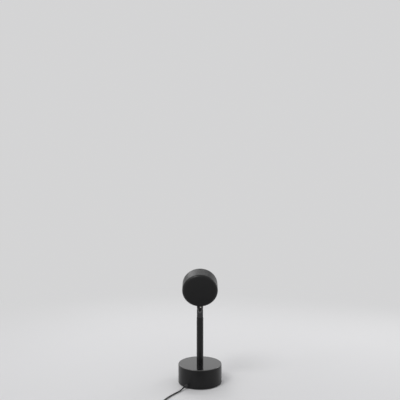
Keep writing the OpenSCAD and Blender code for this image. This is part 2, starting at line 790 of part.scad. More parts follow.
module led_board_screws() {
    color("#8d9096") along_beam(led_face) round_about([0, 180], led_screw_r) difference() {
        union() {
            translate([0, 0, led_screw_tip - led_board_t - thermal_pad_t - led_screw_bite])
                cylinder(d = led_screw_d, $fn = 48,
                    h = led_board_t + thermal_pad_t + led_screw_bite - led_screw_tip);
            cylinder(d = led_screw_head_d, h = led_screw_head_h, $fn = 48);
        }
        translate([0, 0, led_screw_head_h / 2])
            hex_socket(led_screw_d, led_screw_head_h);
    }
}
module led_source() {
    color("#f2e7a8") along_beam(led_face) {
        translate([-led_package / 2, -led_package / 2, 0])
            cube([led_package, led_package, led_package_t]);
        intersection() {
            translate([0, 0, led_package_t]) sphere(r = led_dome_r);
            cylinder(r = led_dome_r + cut, h = led_package_t + led_dome_r + cut);
        }
    }
}
module head_wire() {
    wall_y = led_face - hinge_back;
    rise = drum_rise - led_screw_r;
    bend = head_wire_d / 2;
    path = [[0, wire_hole_y, head_wire_d - tongue_r], [0, wire_hole_y, 0], [0, wire_hole_y, foot_z],
        [0, wire_hole_y, rise / 2], [0, wire_hole_y, rise - 3 * bend], [0, wire_hole_y, rise - 2 * bend],
        [0, wire_hole_y - bend / 3, rise - bend], [0, wire_hole_y - bend, rise - bend / 6],
        [0, wall_y + bend / 4, rise], [0, wall_y, rise]];
    color("#c9c9c4") in_head() sweep(path, head_wire_d, 8, [1, 0, 0]);
}
module filter_tube() {
    color("#1d1d20") along_beam(tube_a) difference() {
        union() {
            cylinder(d = filter_tube_d, h = tube_front - tube_a);
            translate([0, 0, tube_front - tube_a - shelf_t])
                cylinder(r = light_r + bezel_wall, h = shelf_t);
        }
        difference() {
            translate([0, 0, -cut]) cylinder(r = tube_in_r, h = tube_front - tube_a + 2 * cut);
            translate([0, 0, filter_a - tube_a - shelf_t]) difference() {
                cylinder(r = filter_tube_d / 2, h = shelf_t);
                translate([0, 0, -cut]) cylinder(r = shelf_r, h = shelf_t + 2 * cut);
            }
        }
        translate([-wire_hole_d, 0, -cut])
            cube([2 * wire_hole_d, filter_tube_d,
                hinge_back + wire_hole_y + wire_hole_d - tube_a + cut]);
    }
}
module gradient_filter() {
    color("#e8702a") along_beam(filter_a) cylinder(r = filter_r, h = filter_t);
}
module filter_clip() {
    color("#8d9096") along_beam(filter_a + filter_t) difference() {
        cylinder(r = tube_in_r - thread_gap, h = clip_t);
        translate([0, 0, -cut]) cylinder(r = tube_in_r - clip_w, h = clip_t + 2 * cut);
        translate([0, -clip_gap / 2, -cut]) cube([filter_tube_d, clip_gap, clip_t + 2 * cut]);
    }
}
module front_bezel() {
    out = head_in_r - thread_gap;
    color("#151517") along_beam(0) rotate_extrude() polygon([
        [out, bezel_a - bezel_spigot], [out, bezel_a], [head_r - loose, bezel_a],
        [head_r - loose, bezel_a + bezel_rim], [bezel_face_r + bezel_edge, bezel_front],
        [lens_r + lens_gap, bezel_front], [lens_r + lens_gap, lens_a], [light_r, lens_a],
        [light_r, tube_front], [out - bezel_wall, tube_front],
        [out - bezel_wall, bezel_a - bezel_spigot]]);
}
module lens() {
    cap_r = light_r - lens_gap;
    ball_r = (cap_r * cap_r + lens_dome * lens_dome) / (2 * lens_dome);
    color("#dfe6ea") along_beam(lens_a) {
        cylinder(r = lens_r, h = lens_edge);
        intersection() {
            translate([0, 0, lens_edge + lens_dome - ball_r]) sphere(r = ball_r, $fn = 128);
            cylinder(r = cap_r, h = lens_edge + lens_dome + cut);
        }
    }
}
module lens_ring() {
    color("#c9a24a") along_beam(0) rotate_extrude() polygon([
        [light_r, lens_a + lens_edge], [lens_r, lens_a + lens_edge], [lens_r, bezel_front],
        [bezel_face_r, bezel_front], [bezel_face_r, bezel_front + ring_t - ring_edge],
        [bezel_face_r - ring_edge, bezel_front + ring_t], [light_r + ring_edge, bezel_front + ring_t],
        [light_r, bezel_front + ring_t - ring_edge]]);
}

// Lead, switch, coil and plug
module cord_lead() {
    start = [for (k = [0, 1]) let (r = exit_r + k * cord_d) [r * exit_x, r * exit_y, exit_z]];
    color("#121213") sweep(concat(start, lead_points), cord_d, 8, [0, 0, 1]);
}
module cord_link() {
    color("#121213") sweep(link_points, cord_d, 8, [0, 0, 1]);
}
module cord_tail() {
    color("#121213") sweep(tail_points, cord_d, 8, [0, 0, 1]);
}
// The coil winds inwards and outwards in turn and climbs one layer where it turns back
function climb(u) = u <= 0 ? 0 : u >= 1 ? 1 : u * u * (3 - 2 * u);
function coil_r(t) = let (u = t % (2 * coil_turns))
    (coil_mid_d + coil_turns * coil_pitch) / 2 - coil_pitch * min(u, 2 * coil_turns - u);
function coil_up(t) = coil_z + coil_pitch * (climb(2 * (t - coil_turns) + 0.5)
    + climb(2 * (t - 2 * coil_turns) + 0.5) + climb(2 * (t - 3 * coil_turns) + 0.5));
function coil_point(t) = [coil_x + coil_r(t) * cos(90 - 360 * t),
    coil_y + coil_r(t) * sin(90 - 360 * t), coil_up(t)];
coil_wound = [for (k = [0 : (coil_layers * coil_turns - 0.5) * 360 / coil_step])
    coil_point(k * coil_step / 360)];
coil_points = concat([coil_wound[0] - [cord_d, 0, 0]], coil_wound,
    [coil_wound[len(coil_wound) - 1] - [cord_d, 0, 0]]);
coil_apart = 180 / coil_step;
coil_gap = min([for (i = [0 : len(coil_wound) - 1 - coil_apart])
    for (j = [i + coil_apart : len(coil_wound) - 1]) norm(coil_wound[i] - coil_wound[j])]) - cord_d;
echo(str("least gap of the coil to itself, mm: ", coil_gap));
module cord_coil() {
    color("#121213") sweep(coil_points, cord_d, 6, [0, 0, 1]);
}
module coil_tie() {
    w = coil_turns * coil_pitch + cord_d + 2 * tie_gap;
    h = coil_z + (coil_layers - 1) * coil_pitch + cord_d / 2 + tie_gap;
    color("#2a2a2d") translate([coil_x + coil_mid_d / 2, coil_y, 0]) difference() {
        translate([-w / 2 - tie_t, -tie_w / 2, 0]) cube([w + 2 * tie_t, tie_w, h + tie_t]);
        translate([-w / 2, -tie_w, tie_t]) cube([w, 2 * tie_w, h - tie_t]);
    }
}
module in_switch() {
    translate([switch_x, switch_y, 0]) children();
}
module switch_shell(z, h, floor_z, floor_h) {
    difference() {
        translate([0, 0, z]) rounded_block(switch_l, switch_w, h, switch_corner);
        translate([0, 0, floor_z]) rounded_block(switch_l - 2 * case_wall, switch_w - 2 * case_wall,
            floor_h, switch_corner - case_wall);
        for (x = [-1, 1]) translate([x * (switch_l / 2 + cut) - switch_l / 4, 0, switch_lead_z])
            along_x() cylinder(d = boot_barrel_d + 2 * thread_gap, h = switch_l / 2, $fn = 48);
    }
}
module switch_case_lower() {
    color("#161618") in_switch() difference() {
        union() {
            switch_shell(0, case_split, case_wall, case_split);
            for (x = [-1, 1]) translate([x * switch_screw_x, 0, case_wall / 2])
                cylinder(d = switch_post_d, h = case_split - case_wall / 2, $fn = 48);
        }
        for (x = [-1, 1]) translate([x * switch_screw_x, 0, -cut]) {
            cylinder(d = switch_screw_d + loose, h = switch_h, $fn = 48);
            cylinder(d = switch_screw_head_d + loose, h = cut + switch_screw_head_h + loose, $fn = 48);
        }
    }
}
module switch_case_upper() {
    color("#161618") in_switch() difference() {
        union() {
            switch_shell(case_split, switch_h - case_split, 0, switch_h - case_wall);
            for (x = [-1, 1]) translate([x * switch_screw_x, 0, case_split])
                cylinder(d = switch_post_d, h = switch_h - case_split - case_wall / 2, $fn = 48);
        }
        for (x = [-1, 1]) translate([x * switch_screw_x, 0, case_split - cut])
            cylinder(d = switch_screw_d + 2 * thread_gap, h = switch_screw_bite + cut, $fn = 48);
        translate([0, 0, switch_h / 2]) cylinder(d = button_d + 2 * loose, h = switch_h);
    }
}
module switch_screws() {
    color("#8d9096") in_switch() for (x = [-1, 1]) translate([x * switch_screw_x, 0, loose])
        difference() {
            union() {
                cylinder(d = switch_screw_head_d, h = switch_screw_head_h, $fn = 48);
                cylinder(d = switch_screw_d, h = case_split + switch_screw_bite - 2 * loose, $fn = 48);
            }
            translate([0, 0, -cut])
                hex_socket(switch_screw_d, cut + switch_screw_head_h / 2);
        }
}
module switch_button() {
    flange_top = button_flange_top;
    color("#2b2b2e") in_switch() {
        translate([0, 0, flange_top - button_flange_t])
            cylinder(d = button_d + 2 * button_flange_w, h = button_flange_t);
        translate([0, 0, flange_top - cut / 2])
            bevelled_disc(button_d, switch_h + button_proud - flange_top + cut / 2, button_bevel);
        translate([0, 0, stem_z]) cylinder(d = stem_d, h = flange_top - stem_z - cut / 2, $fn = 48);
    }
}
module switch_board() {
    color("#1f5a3c") in_switch() translate([-switch_board_l / 2, -switch_board_w / 2, switch_board_z])
        cube([switch_board_l, switch_board_w, board_t]);
}
module switch_block() {
    z = switch_board_z + board_t;
    color("#3a3a3e") in_switch() difference() {
        translate([-switch_block_w / 2, -switch_block_w / 2, z])
            cube([switch_block_w, switch_block_w, switch_block_top - z]);
        translate([0, 0, z + block_floor_t]) cylinder(d = stem_d + 2 * loose, h = switch_h, $fn = 48);
    }
}
// Each core leaves its boot, passes round the screw post and lies down on the board
module switch_wires() {
    round_r = switch_post_d / 2 + core_d / 2 + loose;
    low_z = switch_board_z + board_t + core_d / 2;
    past_post = [for (a = [30 : 30 : 150]) [switch_screw_x + round_r * cos(a), round_r * sin(a),
        low_z + (switch_lead_z - low_z) * (1 + cos(a)) / 2]];
    from_boot = [for (x = [boot_in_x, boot_in_x - core_d / 3]) [x, core_apart, switch_lead_z]];
    path = concat(from_boot, past_post, [[switch_board_l / 2 - board_edge, core_apart, low_z]]);
    color("#b0392f") in_switch() for (x = [0, 1], y = [0, 1])
        mirror([x, 0, 0]) mirror([0, y, 0]) sweep(path, core_d, 6, [0, 0, 1]);
}
module switch_boots() {
    color("#141415") in_switch() for (x = [-1, 1]) mirror([x < 0 ? 1 : 0, 0, 0])
        translate([0, 0, switch_lead_z]) {
            translate([switch_l / 2, 0, 0]) along_x()
                cylinder(d1 = boot_d, d2 = cord_d + boot_lip, h = boot_l);
            translate([boot_in_x, 0, 0]) along_x()
                cylinder(d = boot_barrel_d, h = switch_l / 2 - boot_in_x + boot_hold / 2, $fn = 48);
        }
}
module plug_overmould() {
    color("#141415") translate([plug_x, plug_y, plug_h / 2]) {
        translate([-plug_l / 2, 0, -plug_h / 2]) rounded_block(plug_l, plug_w, plug_h, plug_corner);
        translate([-boot_hold, 0, 0]) along_x() cylinder(d = boot_d, h = boot_hold);
        along_x() cylinder(d1 = boot_d, d2 = cord_d + boot_lip, h = boot_l);
    }
}
module in_plug() {
    translate([plug_x - plug_l, plug_y, plug_h / 2]) rotate([0, 0, 180]) children();
}
module plug_shell() {
    color("#b9bcc2") in_plug() difference() {
        translate([0, -plug_shell_w / 2, -plug_shell_h / 2])
            cube([plug_shell_l, plug_shell_w, plug_shell_h]);
        translate([-cut, -plug_shell_w / 2 + plug_shell_t, -plug_shell_h / 2 + plug_shell_t])
            cube([plug_shell_l + 2 * cut, plug_shell_w - 2 * plug_shell_t,
                plug_shell_h - 2 * plug_shell_t]);
        for (y = [-1, 1])
            translate([plug_shell_l / 2 - plug_hole / 2, y * plug_shell_w / 4 - plug_hole / 2, -plug_h])
                cube([plug_hole, plug_hole, 2 * plug_h]);
    }
}
module plug_tongue() {
    w = plug_shell_w - 2 * plug_shell_t - 2 * tongue_gap;
    color("#e9e6dc") in_plug() translate([0, -w / 2, -plug_shell_h / 2 + plug_shell_t])
        cube([plug_shell_l - tongue_setback, w, tongue_t]);
}
module plug_contacts() {
    color("#c9a24a") in_plug() for (k = [0 : 3])
        translate([contact_back, (k - 1.5) * contact_apart - contact_w / 2,
            -plug_shell_h / 2 + plug_shell_t + tongue_t])
            cube([plug_shell_l - tongue_setback - 2 * contact_back, contact_w, contact_t]);
}

base_shell();
counterweight();
counterweight_screws();
base_plate();
base_plate_screws();
foot_pad();
lead_gland();
driver_board();
driver_parts();
driver_terminals();
board_screws();
base_lead();
pole_wire();
pole_stud();
pole_washer();
pole_nut();
pole_tube();
neck_grub();
neck_fork();
pivot_bolt();
pivot_nut();
friction_washers();
hinge_tongue();
tongue_screws();
head_shell();
heat_sink();
sink_screws();
thermal_pad();
led_board();
led_board_screws();
led_source();
head_wire();
filter_tube();
gradient_filter();
filter_clip();
front_bezel();
lens();
lens_ring();
cord_lead();
switch_case_lower();
switch_case_upper();
switch_button();
switch_board();
switch_block();
switch_wires();
switch_screws();
switch_boots();
cord_link();
cord_coil();
coil_tie();
cord_tail();
plug_overmould();
plug_shell();
plug_tongue();
plug_contacts();
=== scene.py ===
import bpy, bmesh, math
from mathutils import Matrix, Vector


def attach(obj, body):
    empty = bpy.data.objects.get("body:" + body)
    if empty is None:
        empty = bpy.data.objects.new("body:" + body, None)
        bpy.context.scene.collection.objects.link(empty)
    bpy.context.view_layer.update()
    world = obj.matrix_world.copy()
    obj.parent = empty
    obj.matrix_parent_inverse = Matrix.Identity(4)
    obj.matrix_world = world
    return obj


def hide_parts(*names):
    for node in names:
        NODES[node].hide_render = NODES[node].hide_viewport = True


# Sunset projection lamp: satin black base, pole and drum head, glass lens in a gold ring,
# thin black lead with an in-line switch, a tied coil and a plug.
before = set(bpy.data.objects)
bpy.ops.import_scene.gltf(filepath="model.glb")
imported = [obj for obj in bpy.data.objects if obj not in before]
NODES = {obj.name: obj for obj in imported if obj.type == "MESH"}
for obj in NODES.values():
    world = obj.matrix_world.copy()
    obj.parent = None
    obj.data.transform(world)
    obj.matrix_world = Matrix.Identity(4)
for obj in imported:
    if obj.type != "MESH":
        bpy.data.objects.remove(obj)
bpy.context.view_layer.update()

# ------ camera
eye = bpy.data.objects.new("camera", bpy.data.cameras.new("camera"))
bpy.context.scene.collection.objects.link(eye)
bpy.context.scene.camera = eye
eye.location = (0, -1.0147, 0.3784)
eye.rotation_euler = (math.radians(90), 0, 0)
eye.data.sensor_width = 36
eye.data.lens = 43.794
eye.data.clip_start = 0.05
eye.data.clip_end = 20

# ------ sizes, in millimetres
MM = 0.001
BASE_R, BASE_H, BASE_LIFT, BASE_BEVEL = 45, 38.5, 1, 0.8
BASE_ROOM_R, BASE_ROOM_H, BASE_HOLE_R = 42.5, 35.5, 5.05
FOOT_R, FOOT_H = 40, 1.5
HINGE_H, HEAD_TILT = 151.5, math.radians(20)
# The middle of the drum's rear face, from the hinge with the head level; heights count from it
DRUM_REAR = (0, -10.5, 46.5)
DRUM_R, DRUM_L, DRUM_ROUND = 36.5, 31, 5.5
DRUM_BORE_R, DRUM_FLOOR, DRUM_FILLET = 34.5, 2.5, 3
BEZEL_R, BEZEL_RIM, BEZEL_FACE_R, BEZEL_FACE = 36.2, 32, 29.5, 37
SKIRT_R, SKIRT_BORE_R, SKIRT_END = 34.45, 30.45, 25
LENS_SEAT_R, LENS_SEAT, LENS_LIP, SIGHT_R = 23.6, 33.4, 31.4, 21.8
LENS_R, LENS_EDGE, DOME_R, DOME_H = 23.4, 36.4, 21.6, 8
RING_R, RING_FACE, RING_CHAMFER = 28.9, 39.5, 0.7
GROOVE_IN, GROOVE_OUT, GROOVE_SLOPE, GROOVE_DEPTH = 24.9, 26.6, 0.4, 0.35
FILTER_R = 15.5
RIVET_R, RIVET_FLAT_R, RIVET_H, RIVET_ROOT, RIVET_AT = 1.6, 1.05, 0.75, -0.3, (1.2, -6, 7.6)
CORD_R, CORD_SIDES, SLEEVE_TIP_R = 1.4, 14, 1.95
GLAND_R, GLAND_NECK_R, GLAND_TAPER_R = 4, 3, 2.7
GLAND_INNER, GLAND_NECK, GLAND_OUTER, GLAND_L = 1.4, 3.7, 5.4, 10.4
LEAD_H, LEAD_TURN, LEAD_START = 4.5, 234, 41
SWITCH_X, SWITCH_Y, SWITCH_LEAD_H = -22, -137, 5
CASE_L, CASE_W, CASE_CORNER, CASE_WALL = 44, 16, 3.5, 1.5
CASE_SEAM, CASE_TOP, CASE_EDGE = 6.5, 12, 1.6
KEY_HOLE_R, KEY_COLLAR_R, KEY_COLLAR_H = 4.8, (5.5, 5.2, 4.95), 0.25
KEY_R, KEY_SHOULDER, KEY_RIM_R, KEY_TOP = 4.5, 13.3, 3.7, 14
KEY_DISH_R, KEY_DISH, KEY_FLAT_R, KEY_FLAT = 3, 13.7, 1.6, 13.5
KEY_FLANGE_R, KEY_FLANGE_TOP, KEY_FLANGE, KEY_STEM_R, KEY_STEM = 5.5, 10.2, 9, 2, 6
BOOT_NECK_R, BOOT_NECK, BOOT_R, BOOT_L, BOOT_OUT = 2.3, 2.5, 3, 8.5, 19.5
COIL_X, COIL_Y, COIL_R, COIL_STEP, COIL_LOW = 36, -155, 20.95, 3.3, 2.3
COIL_TURNS, LAYER_TURNS, POINTS_A_TURN = 11.5, 3, 72
TIE_X, TIE_W, TIE_THICK, TIE_LIP = 52, 9, 0.65, 0.12
TIE_HALF, TIE_LOW, TIE_HIGH, TIE_CORNER = 6.65, 0.7, 13.9, 3.6
PLUG_X, PLUG_Y, PLUG_LEAD_H = -23, -169, 4
PLUG_L, PLUG_W, PLUG_H, PLUG_CORNER, PLUG_EDGE = 30, 14.4, 8, 3, 1.6
PLUG_BOOT_R, PLUG_BOOT_ROOT, PLUG_BOOT_L = 3, 1, 7
# Ribs: pitch, place of the first, radius of the first and the last, a rib's own radius as a share
GLAND_RIBS, BOOT_RIBS = (1.05, 6.3, 2.54, 2.06, 0.13), (1.2, 3.6, 2.72, 2.12, 0.12)
PLUG_RIBS, RIB_COUNT = (1.2, 2.1, 2.72, 2.12, 0.12), 4
# Grip bars: count, pitch, radius, length, flatness
SWITCH_BARS, SWITCH_GRIP_H = (9, 1.5, 0.35, 3.4, 0.8), 8.6
PLUG_BARS, PLUG_GRIP_W = (7, 2, 0.5, 4.2, 0.65), 14.3


def at(x, y, z, turn_z=0.0, turn_y=0.0, turn_x=0.0):
    """A place in millimetres, turned about X, then Y, then Z by degrees."""
    return (Matrix.Translation(Vector((x, y, z)) * MM) @ Matrix.Rotation(math.radians(turn_z), 4, "Z")
            @ Matrix.Rotation(math.radians(turn_y), 4, "Y") @ Matrix.Rotation(math.radians(turn_x), 4, "X"))


HEAD = at(0, 0, HINGE_H) @ Matrix.Rotation(HEAD_TILT, 4, "X")
# The drum's own axes: Z runs along the beam from the drum's rear face
BEAM = HEAD @ at(*DRUM_REAR, turn_x=-90)


# ------ node trees
class Level:
    """A value in a node tree; arithmetic on it adds Math nodes."""

    def __init__(self, nodes, socket):
        self.nodes = nodes
        self.socket = socket

    def _do(self, operation, *values):
        made = self.nodes.node("ShaderNodeMath", {"operation": operation}, dict(enumerate(values)))
        return Level(self.nodes, made.outputs[0])

    def __add__(self, other):
        return self._do("ADD", self, other)

    def __sub__(self, other):
        return self._do("SUBTRACT", self, other)

    def __rsub__(self, other):
        return self._do("SUBTRACT", other, self)

    def __mul__(self, other):
        return self._do("MULTIPLY", self, other)

    __radd__, __rmul__ = __add__, __mul__

    def __pow__(self, other):
        return self._do("POWER", self, other)

    def __abs__(self):
        return self._do("ABSOLUTE", self)

    def most(self, other):
        return self._do("MAXIMUM", self, other)

    def between(self, low, high):
        """0 below low, 1 above high, smooth in between."""
        made = self.nodes.node("ShaderNodeMapRange", {"interpolation_type": "SMOOTHSTEP"},
                               {"Value": self, "From Min": low, "From Max": high})
        return Level(self.nodes, made.outputs[0])


class Nodes:
    """A node tree, filled through one method."""

    def __init__(self, tree):
        self.tree = tree

    def node(self, kind, settings=None, sockets=None):
        """Adds one node: its settings first, then the values or links of its sockets."""
        made = self.tree.nodes.new(kind)
        for key, value in (settings or {}).items():
            if key == "stops":
                self.set_stops(made.color_ramp, value)
            else:
                setattr(made, key, value)
        for key, value in (sockets or {}).items():
            self.set(made.inputs[key], value)
        return made

    def set_stops(self, ramp, stops):
        while len(ramp.elements) < len(stops):
            ramp.elements.new(0.5)
        for element, (share, shade) in zip(ramp.elements, stops):
            element.position = share
            element.color = (*shade, 1)

    def set(self, socket, value):
        """Links an input to another socket or gives it a value."""
        if isinstance(value, Level):
            value = value.socket
        if isinstance(value, bpy.types.NodeSocket):
            self.tree.links.new(value, socket)
        else:
            socket.default_value = value


class Finish(Nodes):
    """One surface finish, made of nodes that read Object coordinates in metres."""

    def __init__(self, name, color, roughness, metallic=0.0, **fixed):
        self.material = bpy.data.materials.new(name)
        self.material.use_nodes = True
        self.material.node_tree.nodes.clear()
        super().__init__(self.material.node_tree)
        self.skin = self.node("ShaderNodeBsdfPrincipled", sockets={
            "Base Color": (*color, 1), "Roughness": roughness, "Metallic": metallic, **fixed})
        self.out = self.node("ShaderNodeOutputMaterial", sockets={"Surface": self.skin.outputs[0]})
        self.place = self.node("ShaderNodeTexCoord").outputs["Object"]

    def skin_set(self, **values):
        for key, value in values.items():
            self.set(self.skin.inputs[key.replace("_", " ")], value)

    def turned(self, location=(0, 0, 0), rotation=(0, 0, 0), kind="TEXTURE"):
        """The pattern's place, centred and turned on the piece."""
        return self.node("ShaderNodeMapping", {"vector_type": kind}, {
            "Vector": self.place, "Location": location, "Rotation": rotation}).outputs[0]

    def stretched(self, place, scale):
        return self.node("ShaderNodeMapping", {"vector_type": "POINT"},
                         {"Vector": place, "Scale": scale}).outputs[0]

    def noise(self, size, detail=2.0, place=None, rough=0.5, distortion=0.0):
        """Noise whose grains are about size metres wide, from 0 to 1."""
        made = self.node("ShaderNodeTexNoise", {"noise_dimensions": "3D"}, {
            "Vector": place or self.place, "Scale": 0.5 / size, "Detail": detail,
            "Roughness": rough, "Distortion": distortion})
        return Level(self, made.outputs[0])

    def cells(self, size):
        made = self.node("ShaderNodeTexVoronoi", {"feature": "F1"}, {"Vector": self.place, "Scale": 1 / size})
        return Level(self, made.outputs["Distance"])

    def axes(self, place=None):
        """The three coordinates of the pattern's place."""
        made = self.node("ShaderNodeSeparateXYZ", sockets={0: place or self.place})
        return [Level(self, output) for output in made.outputs]

    def around(self, place=None):
        """The distance from the place's Z axis and the height along it."""
        x, y, z = self.axes(place)
        return (x * x + y * y) ** 0.5, z

    def shades(self, level, stops):
        return self.node("ShaderNodeValToRGB", {"stops": stops}, {0: level}).outputs[0]

    def mix(self, level, a, b):
        """Colour a where the level is 0, colour b where it is 1."""
        made = self.node("ShaderNodeMix", {"data_type": "RGBA"}, {"Factor": level})
        for socket, value in zip((made.inputs[6], made.inputs[7]), (a, b)):
            self.set(socket, value if isinstance(value, bpy.types.NodeSocket) else (*value, 1))
        return made.outputs[2]

    def bumps(self, *layers):
        """Layers of (height from 0 to 1, depth in metres), one on another."""
        normal = None
        for height, depth in layers:
            sockets = {"Height": height, "Distance": depth, "Strength": 1.0}
            if normal:
                sockets["Normal"] = normal
            normal = self.node("ShaderNodeBump", sockets=sockets).outputs[0]
        self.skin_set(Normal=normal)


def grey(shade):
    return (shade,) * 3


def scaled(color, share, more=0.0):
    return tuple(c * share + more for c in color)


# ------ finishes
# Pale grey of worn paint edges; on the base's bevel it also paints a highlight line
EDGE_WEAR_AND_HIGHLIGHT = (0.13, 0.128, 0.125)
POLISH = 0.14


def in_beam(f):
    """The pattern's place in the drum's own axes."""
    return f.turned(tuple(BEAM.translation), tuple(BEAM.to_euler("XYZ")))


def black_paint(name, shade, roughness, grain, edge_wear_and_highlight=None, polished=None):
    """Baked black paint: a fine orange peel, a slow change of gloss, specks, and edges lightened for wear; on
    the base's bevel that lighter band is also a painted highlight line.
    """
    f = Finish(name, grey(shade), roughness, **{"Coat Roughness": 0.06, "Specular IOR Level": 0.32})
    peel, slow = f.noise(grain, 3), f.noise(0.03, 2)
    smudge = f.noise(0.012, 4, rough=0.65, distortion=0.6).between(0.5, 0.75)
    specks = f.noise(0.0006, 1).between(0.7, 0.78)
    base = f.mix(specks * 0.5, grey(shade), grey(shade * 2.6 + 0.01))
    base = f.mix(slow.between(0.3, 0.7) * 0.5, base, (shade * 0.7, shade * 0.72, shade * 0.78))
    gloss = roughness + slow * 0.06 - 0.06 + peel * 0.06 + smudge * 0.07 + specks * 0.1
    if edge_wear_and_highlight:
        chips = f.noise(0.0012, 4, rough=0.7).between(0.54, 0.66)
        # The steady 0.35 share lightens the whole edge band: on the base's bevel this is a painted highlight,
        # the chips are wear
        edge = edge_wear_and_highlight(f) * (chips * 0.3 + f.noise(0.0004, 2) * 0.2 + 0.35)
        base = f.mix(edge, base, EDGE_WEAR_AND_HIGHLIGHT)
        gloss = gloss - edge * 0.1
    if polished:
        top = polished(f)
        gloss = gloss - top * (roughness - POLISH)
        f.skin_set(Coat_Weight=top * 0.8)
    f.skin_set(Base_Color=base, Roughness=gloss)
    f.bumps((peel, 0.00004), (specks, 0.00001))
    return f.material


def base_rim_wear_and_highlight(f):
    """The bevel between the base's side and its top: wear, and a painted highlight line along it."""
    r, z = f.around()
    rim = BASE_R - BASE_BEVEL - BASE_H
    return (r - z).between((rim - 0.4) * MM, (rim + 0.3) * MM) \
        * z.between((BASE_H - 1.3) * MM, (BASE_H - 0.7) * MM)


def base_top(f):
    """The polished top of the base, inside its bevel."""
    return f.axes()[2].between((BASE_H - 0.7) * MM, (BASE_H - 0.2) * MM)


def drum_rim_wear(f):
    """Wear on the drum's front edge and, weaker, on its rear rounding."""
    r, z = f.around(in_beam(f))
    front = r.between((DRUM_R - 0.5) * MM, (DRUM_R - 0.15) * MM) \
        * z.between((DRUM_L - 1) * MM, (DRUM_L - 0.4) * MM)
    rear = r.between((DRUM_R - 2) * MM, (DRUM_R - 0.7) * MM) * (1 - z.between(1.2 * MM, 3.4 * MM))
    return front + rear * 0.35


def bezel_wear(f):
    """Wear on the edge of the bezel's flat face."""
    return f.axes(in_beam(f))[2].between((BEZEL_FACE - 0.6) * MM, (BEZEL_FACE - 0.1) * MM) * 0.6


def bare_metal(name, shade, roughness, size=0.0004, stretch=(1, 1, 1), dull=0.12):
    """Plated or milled metal: fine marks one way, a slow change of gloss and dirt in the lows."""
    f = Finish(name, shade, roughness, 1.0)
    fine, slow = f.noise(size, 3, f.stretched(f.place, stretch)), f.noise(0.008, 3)
    stain = f.noise(0.003, 4, rough=0.7).between(0.55, 0.8)
    f.skin_set(Base_Color=f.mix(stain * 0.35, shade, (0.12, 0.1, 0.08)),
               Roughness=roughness + fine * dull - dull / 2 + slow * 0.08 + stain * 0.12)
    f.bumps((fine, 0.000006))
    return f.material


def turned_metal(name, shade, roughness, pitch):
    """Metal turned on a lathe about the drum's axis: fine rings, each a little off the next."""
    f = Finish(name, shade, roughness, 1.0, **{"Coat Weight": 0.15, "Coat Roughness": 0.08})
    r, z = f.around(in_beam(f))
    across = f.node("ShaderNodeCombineXYZ", sockets={0: r, 1: z}).outputs[0]
    rings, slow = f.noise(pitch, 2, across), f.noise(0.009, 3)
    rub = f.noise(0.0016, 4, rough=0.7).between(0.58, 0.75)
    tone = f.mix(rings, scaled(shade, 0.8), scaled(shade, 1.08))
    tone = f.mix(rub * 0.2, tone, scaled(shade, 0.8, 0.12))
    f.skin_set(Base_Color=tone, Roughness=roughness + rings * 0.12 - 0.06 + slow * 0.06 + rub * 0.08)
    f.bumps((rings, 0.000004))
    return f.material


def moulded(name, shade, roughness, grain=0.00035, depth=0.00003, flecks=0.25):
    """Moulded plastic with a spark-eroded grain and a little handling gloss."""
    f = Finish(name, shade, roughness, **{"Specular IOR Level": 0.45})
    fine, slow = f.noise(grain, 4, rough=0.6), f.noise(0.006, 3)
    rub = f.noise(0.004, 3, distortion=0.5).between(0.52, 0.7)
    light, dark = scaled(shade, 1.5, 0.008), scaled(shade, 0.72)
    f.skin_set(Base_Color=f.mix(slow * flecks, f.mix(fine, dark, light), dark),
               Roughness=roughness + fine * 0.1 - 0.05 - rub * 0.12 + slow * 0.06)
    f.bumps((fine, depth))
    return f.material


def rubber(name, shade, roughness):
    """Soft rubber with dust on it."""
    f = Finish(name, shade, roughness, **{"Sheen Weight": 0.15, "Sheen Roughness": 0.5})
    fine, slow = f.noise(0.0003, 3), f.noise(0.005, 3)
    dust = f.noise(0.002, 5, rough=0.75).between(0.5, 0.8)
    f.skin_set(Base_Color=f.mix(dust * 0.4, shade, scaled(shade, 2.4, 0.02)),
               Roughness=roughness + fine * 0.08 + slow * 0.06 + dust * 0.1)
    f.bumps((fine, 0.00002))
    return f.material


def lead_jacket(name):
    """The lead's soft jacket: drawn marks along it, dust, and shine where it has been handled."""
    f = Finish(name, (0.014, 0.014, 0.015), 0.42, **{"Specular IOR Level": 0.5})
    along = f.node("ShaderNodeUVMap", {"uv_map": "along"}).outputs[0]
    marks = f.noise(0.02, 4, f.stretched(along, (1, 9, 1)), rough=0.6)
    fine, slow = f.noise(0.00035, 3), f.noise(0.012, 3)
    dust = f.noise(0.0016, 5, rough=0.75).between(0.52, 0.78)
    f.skin_set(Base_Color=f.mix(dust * 0.35, (0.013, 0.013, 0.014), (0.05, 0.048, 0.045)),
               Roughness=0.36 + marks * 0.12 + slow * 0.1 + dust * 0.12)
    f.bumps((marks, 0.00003), (fine, 0.000012))
    return f.material


def foot_foam(name):
    """Open foam: dark cells with paler walls."""
    f = Finish(name, (0.02, 0.02, 0.021), 0.92, **{"Sheen Weight": 0.1})
    cells, slow = f.cells(0.0007), f.noise(0.004, 4)
    walls = [(0.0, grey(0.008)), (0.6, grey(0.026)), (1.0, grey(0.04))]
    f.skin_set(Base_Color=f.shades(cells * 1.4, walls), Roughness=0.86 + slow * 0.1)
    f.bumps((cells, 0.00022), (slow, 0.0002))
    return f.material


def clear_glass(name):
    """Polished lens glass: a hair of haze, faint dust and one soft wipe mark."""
    f = Finish(name, (0.985, 0.992, 0.99), 0.01,
               **{"Transmission Weight": 1.0, "IOR": 1.5, "Specular IOR Level": 0.5})
    dust = f.noise(0.0007, 2).between(0.72, 0.8)
    wipe = f.noise(0.01, 3, distortion=1.2).between(0.55, 0.85)
    f.skin_set(Roughness=dust * 0.22 + wipe * 0.03 + 0.004)
    f.bumps((f.noise(0.004, 1), 0.000004))
    return f.material


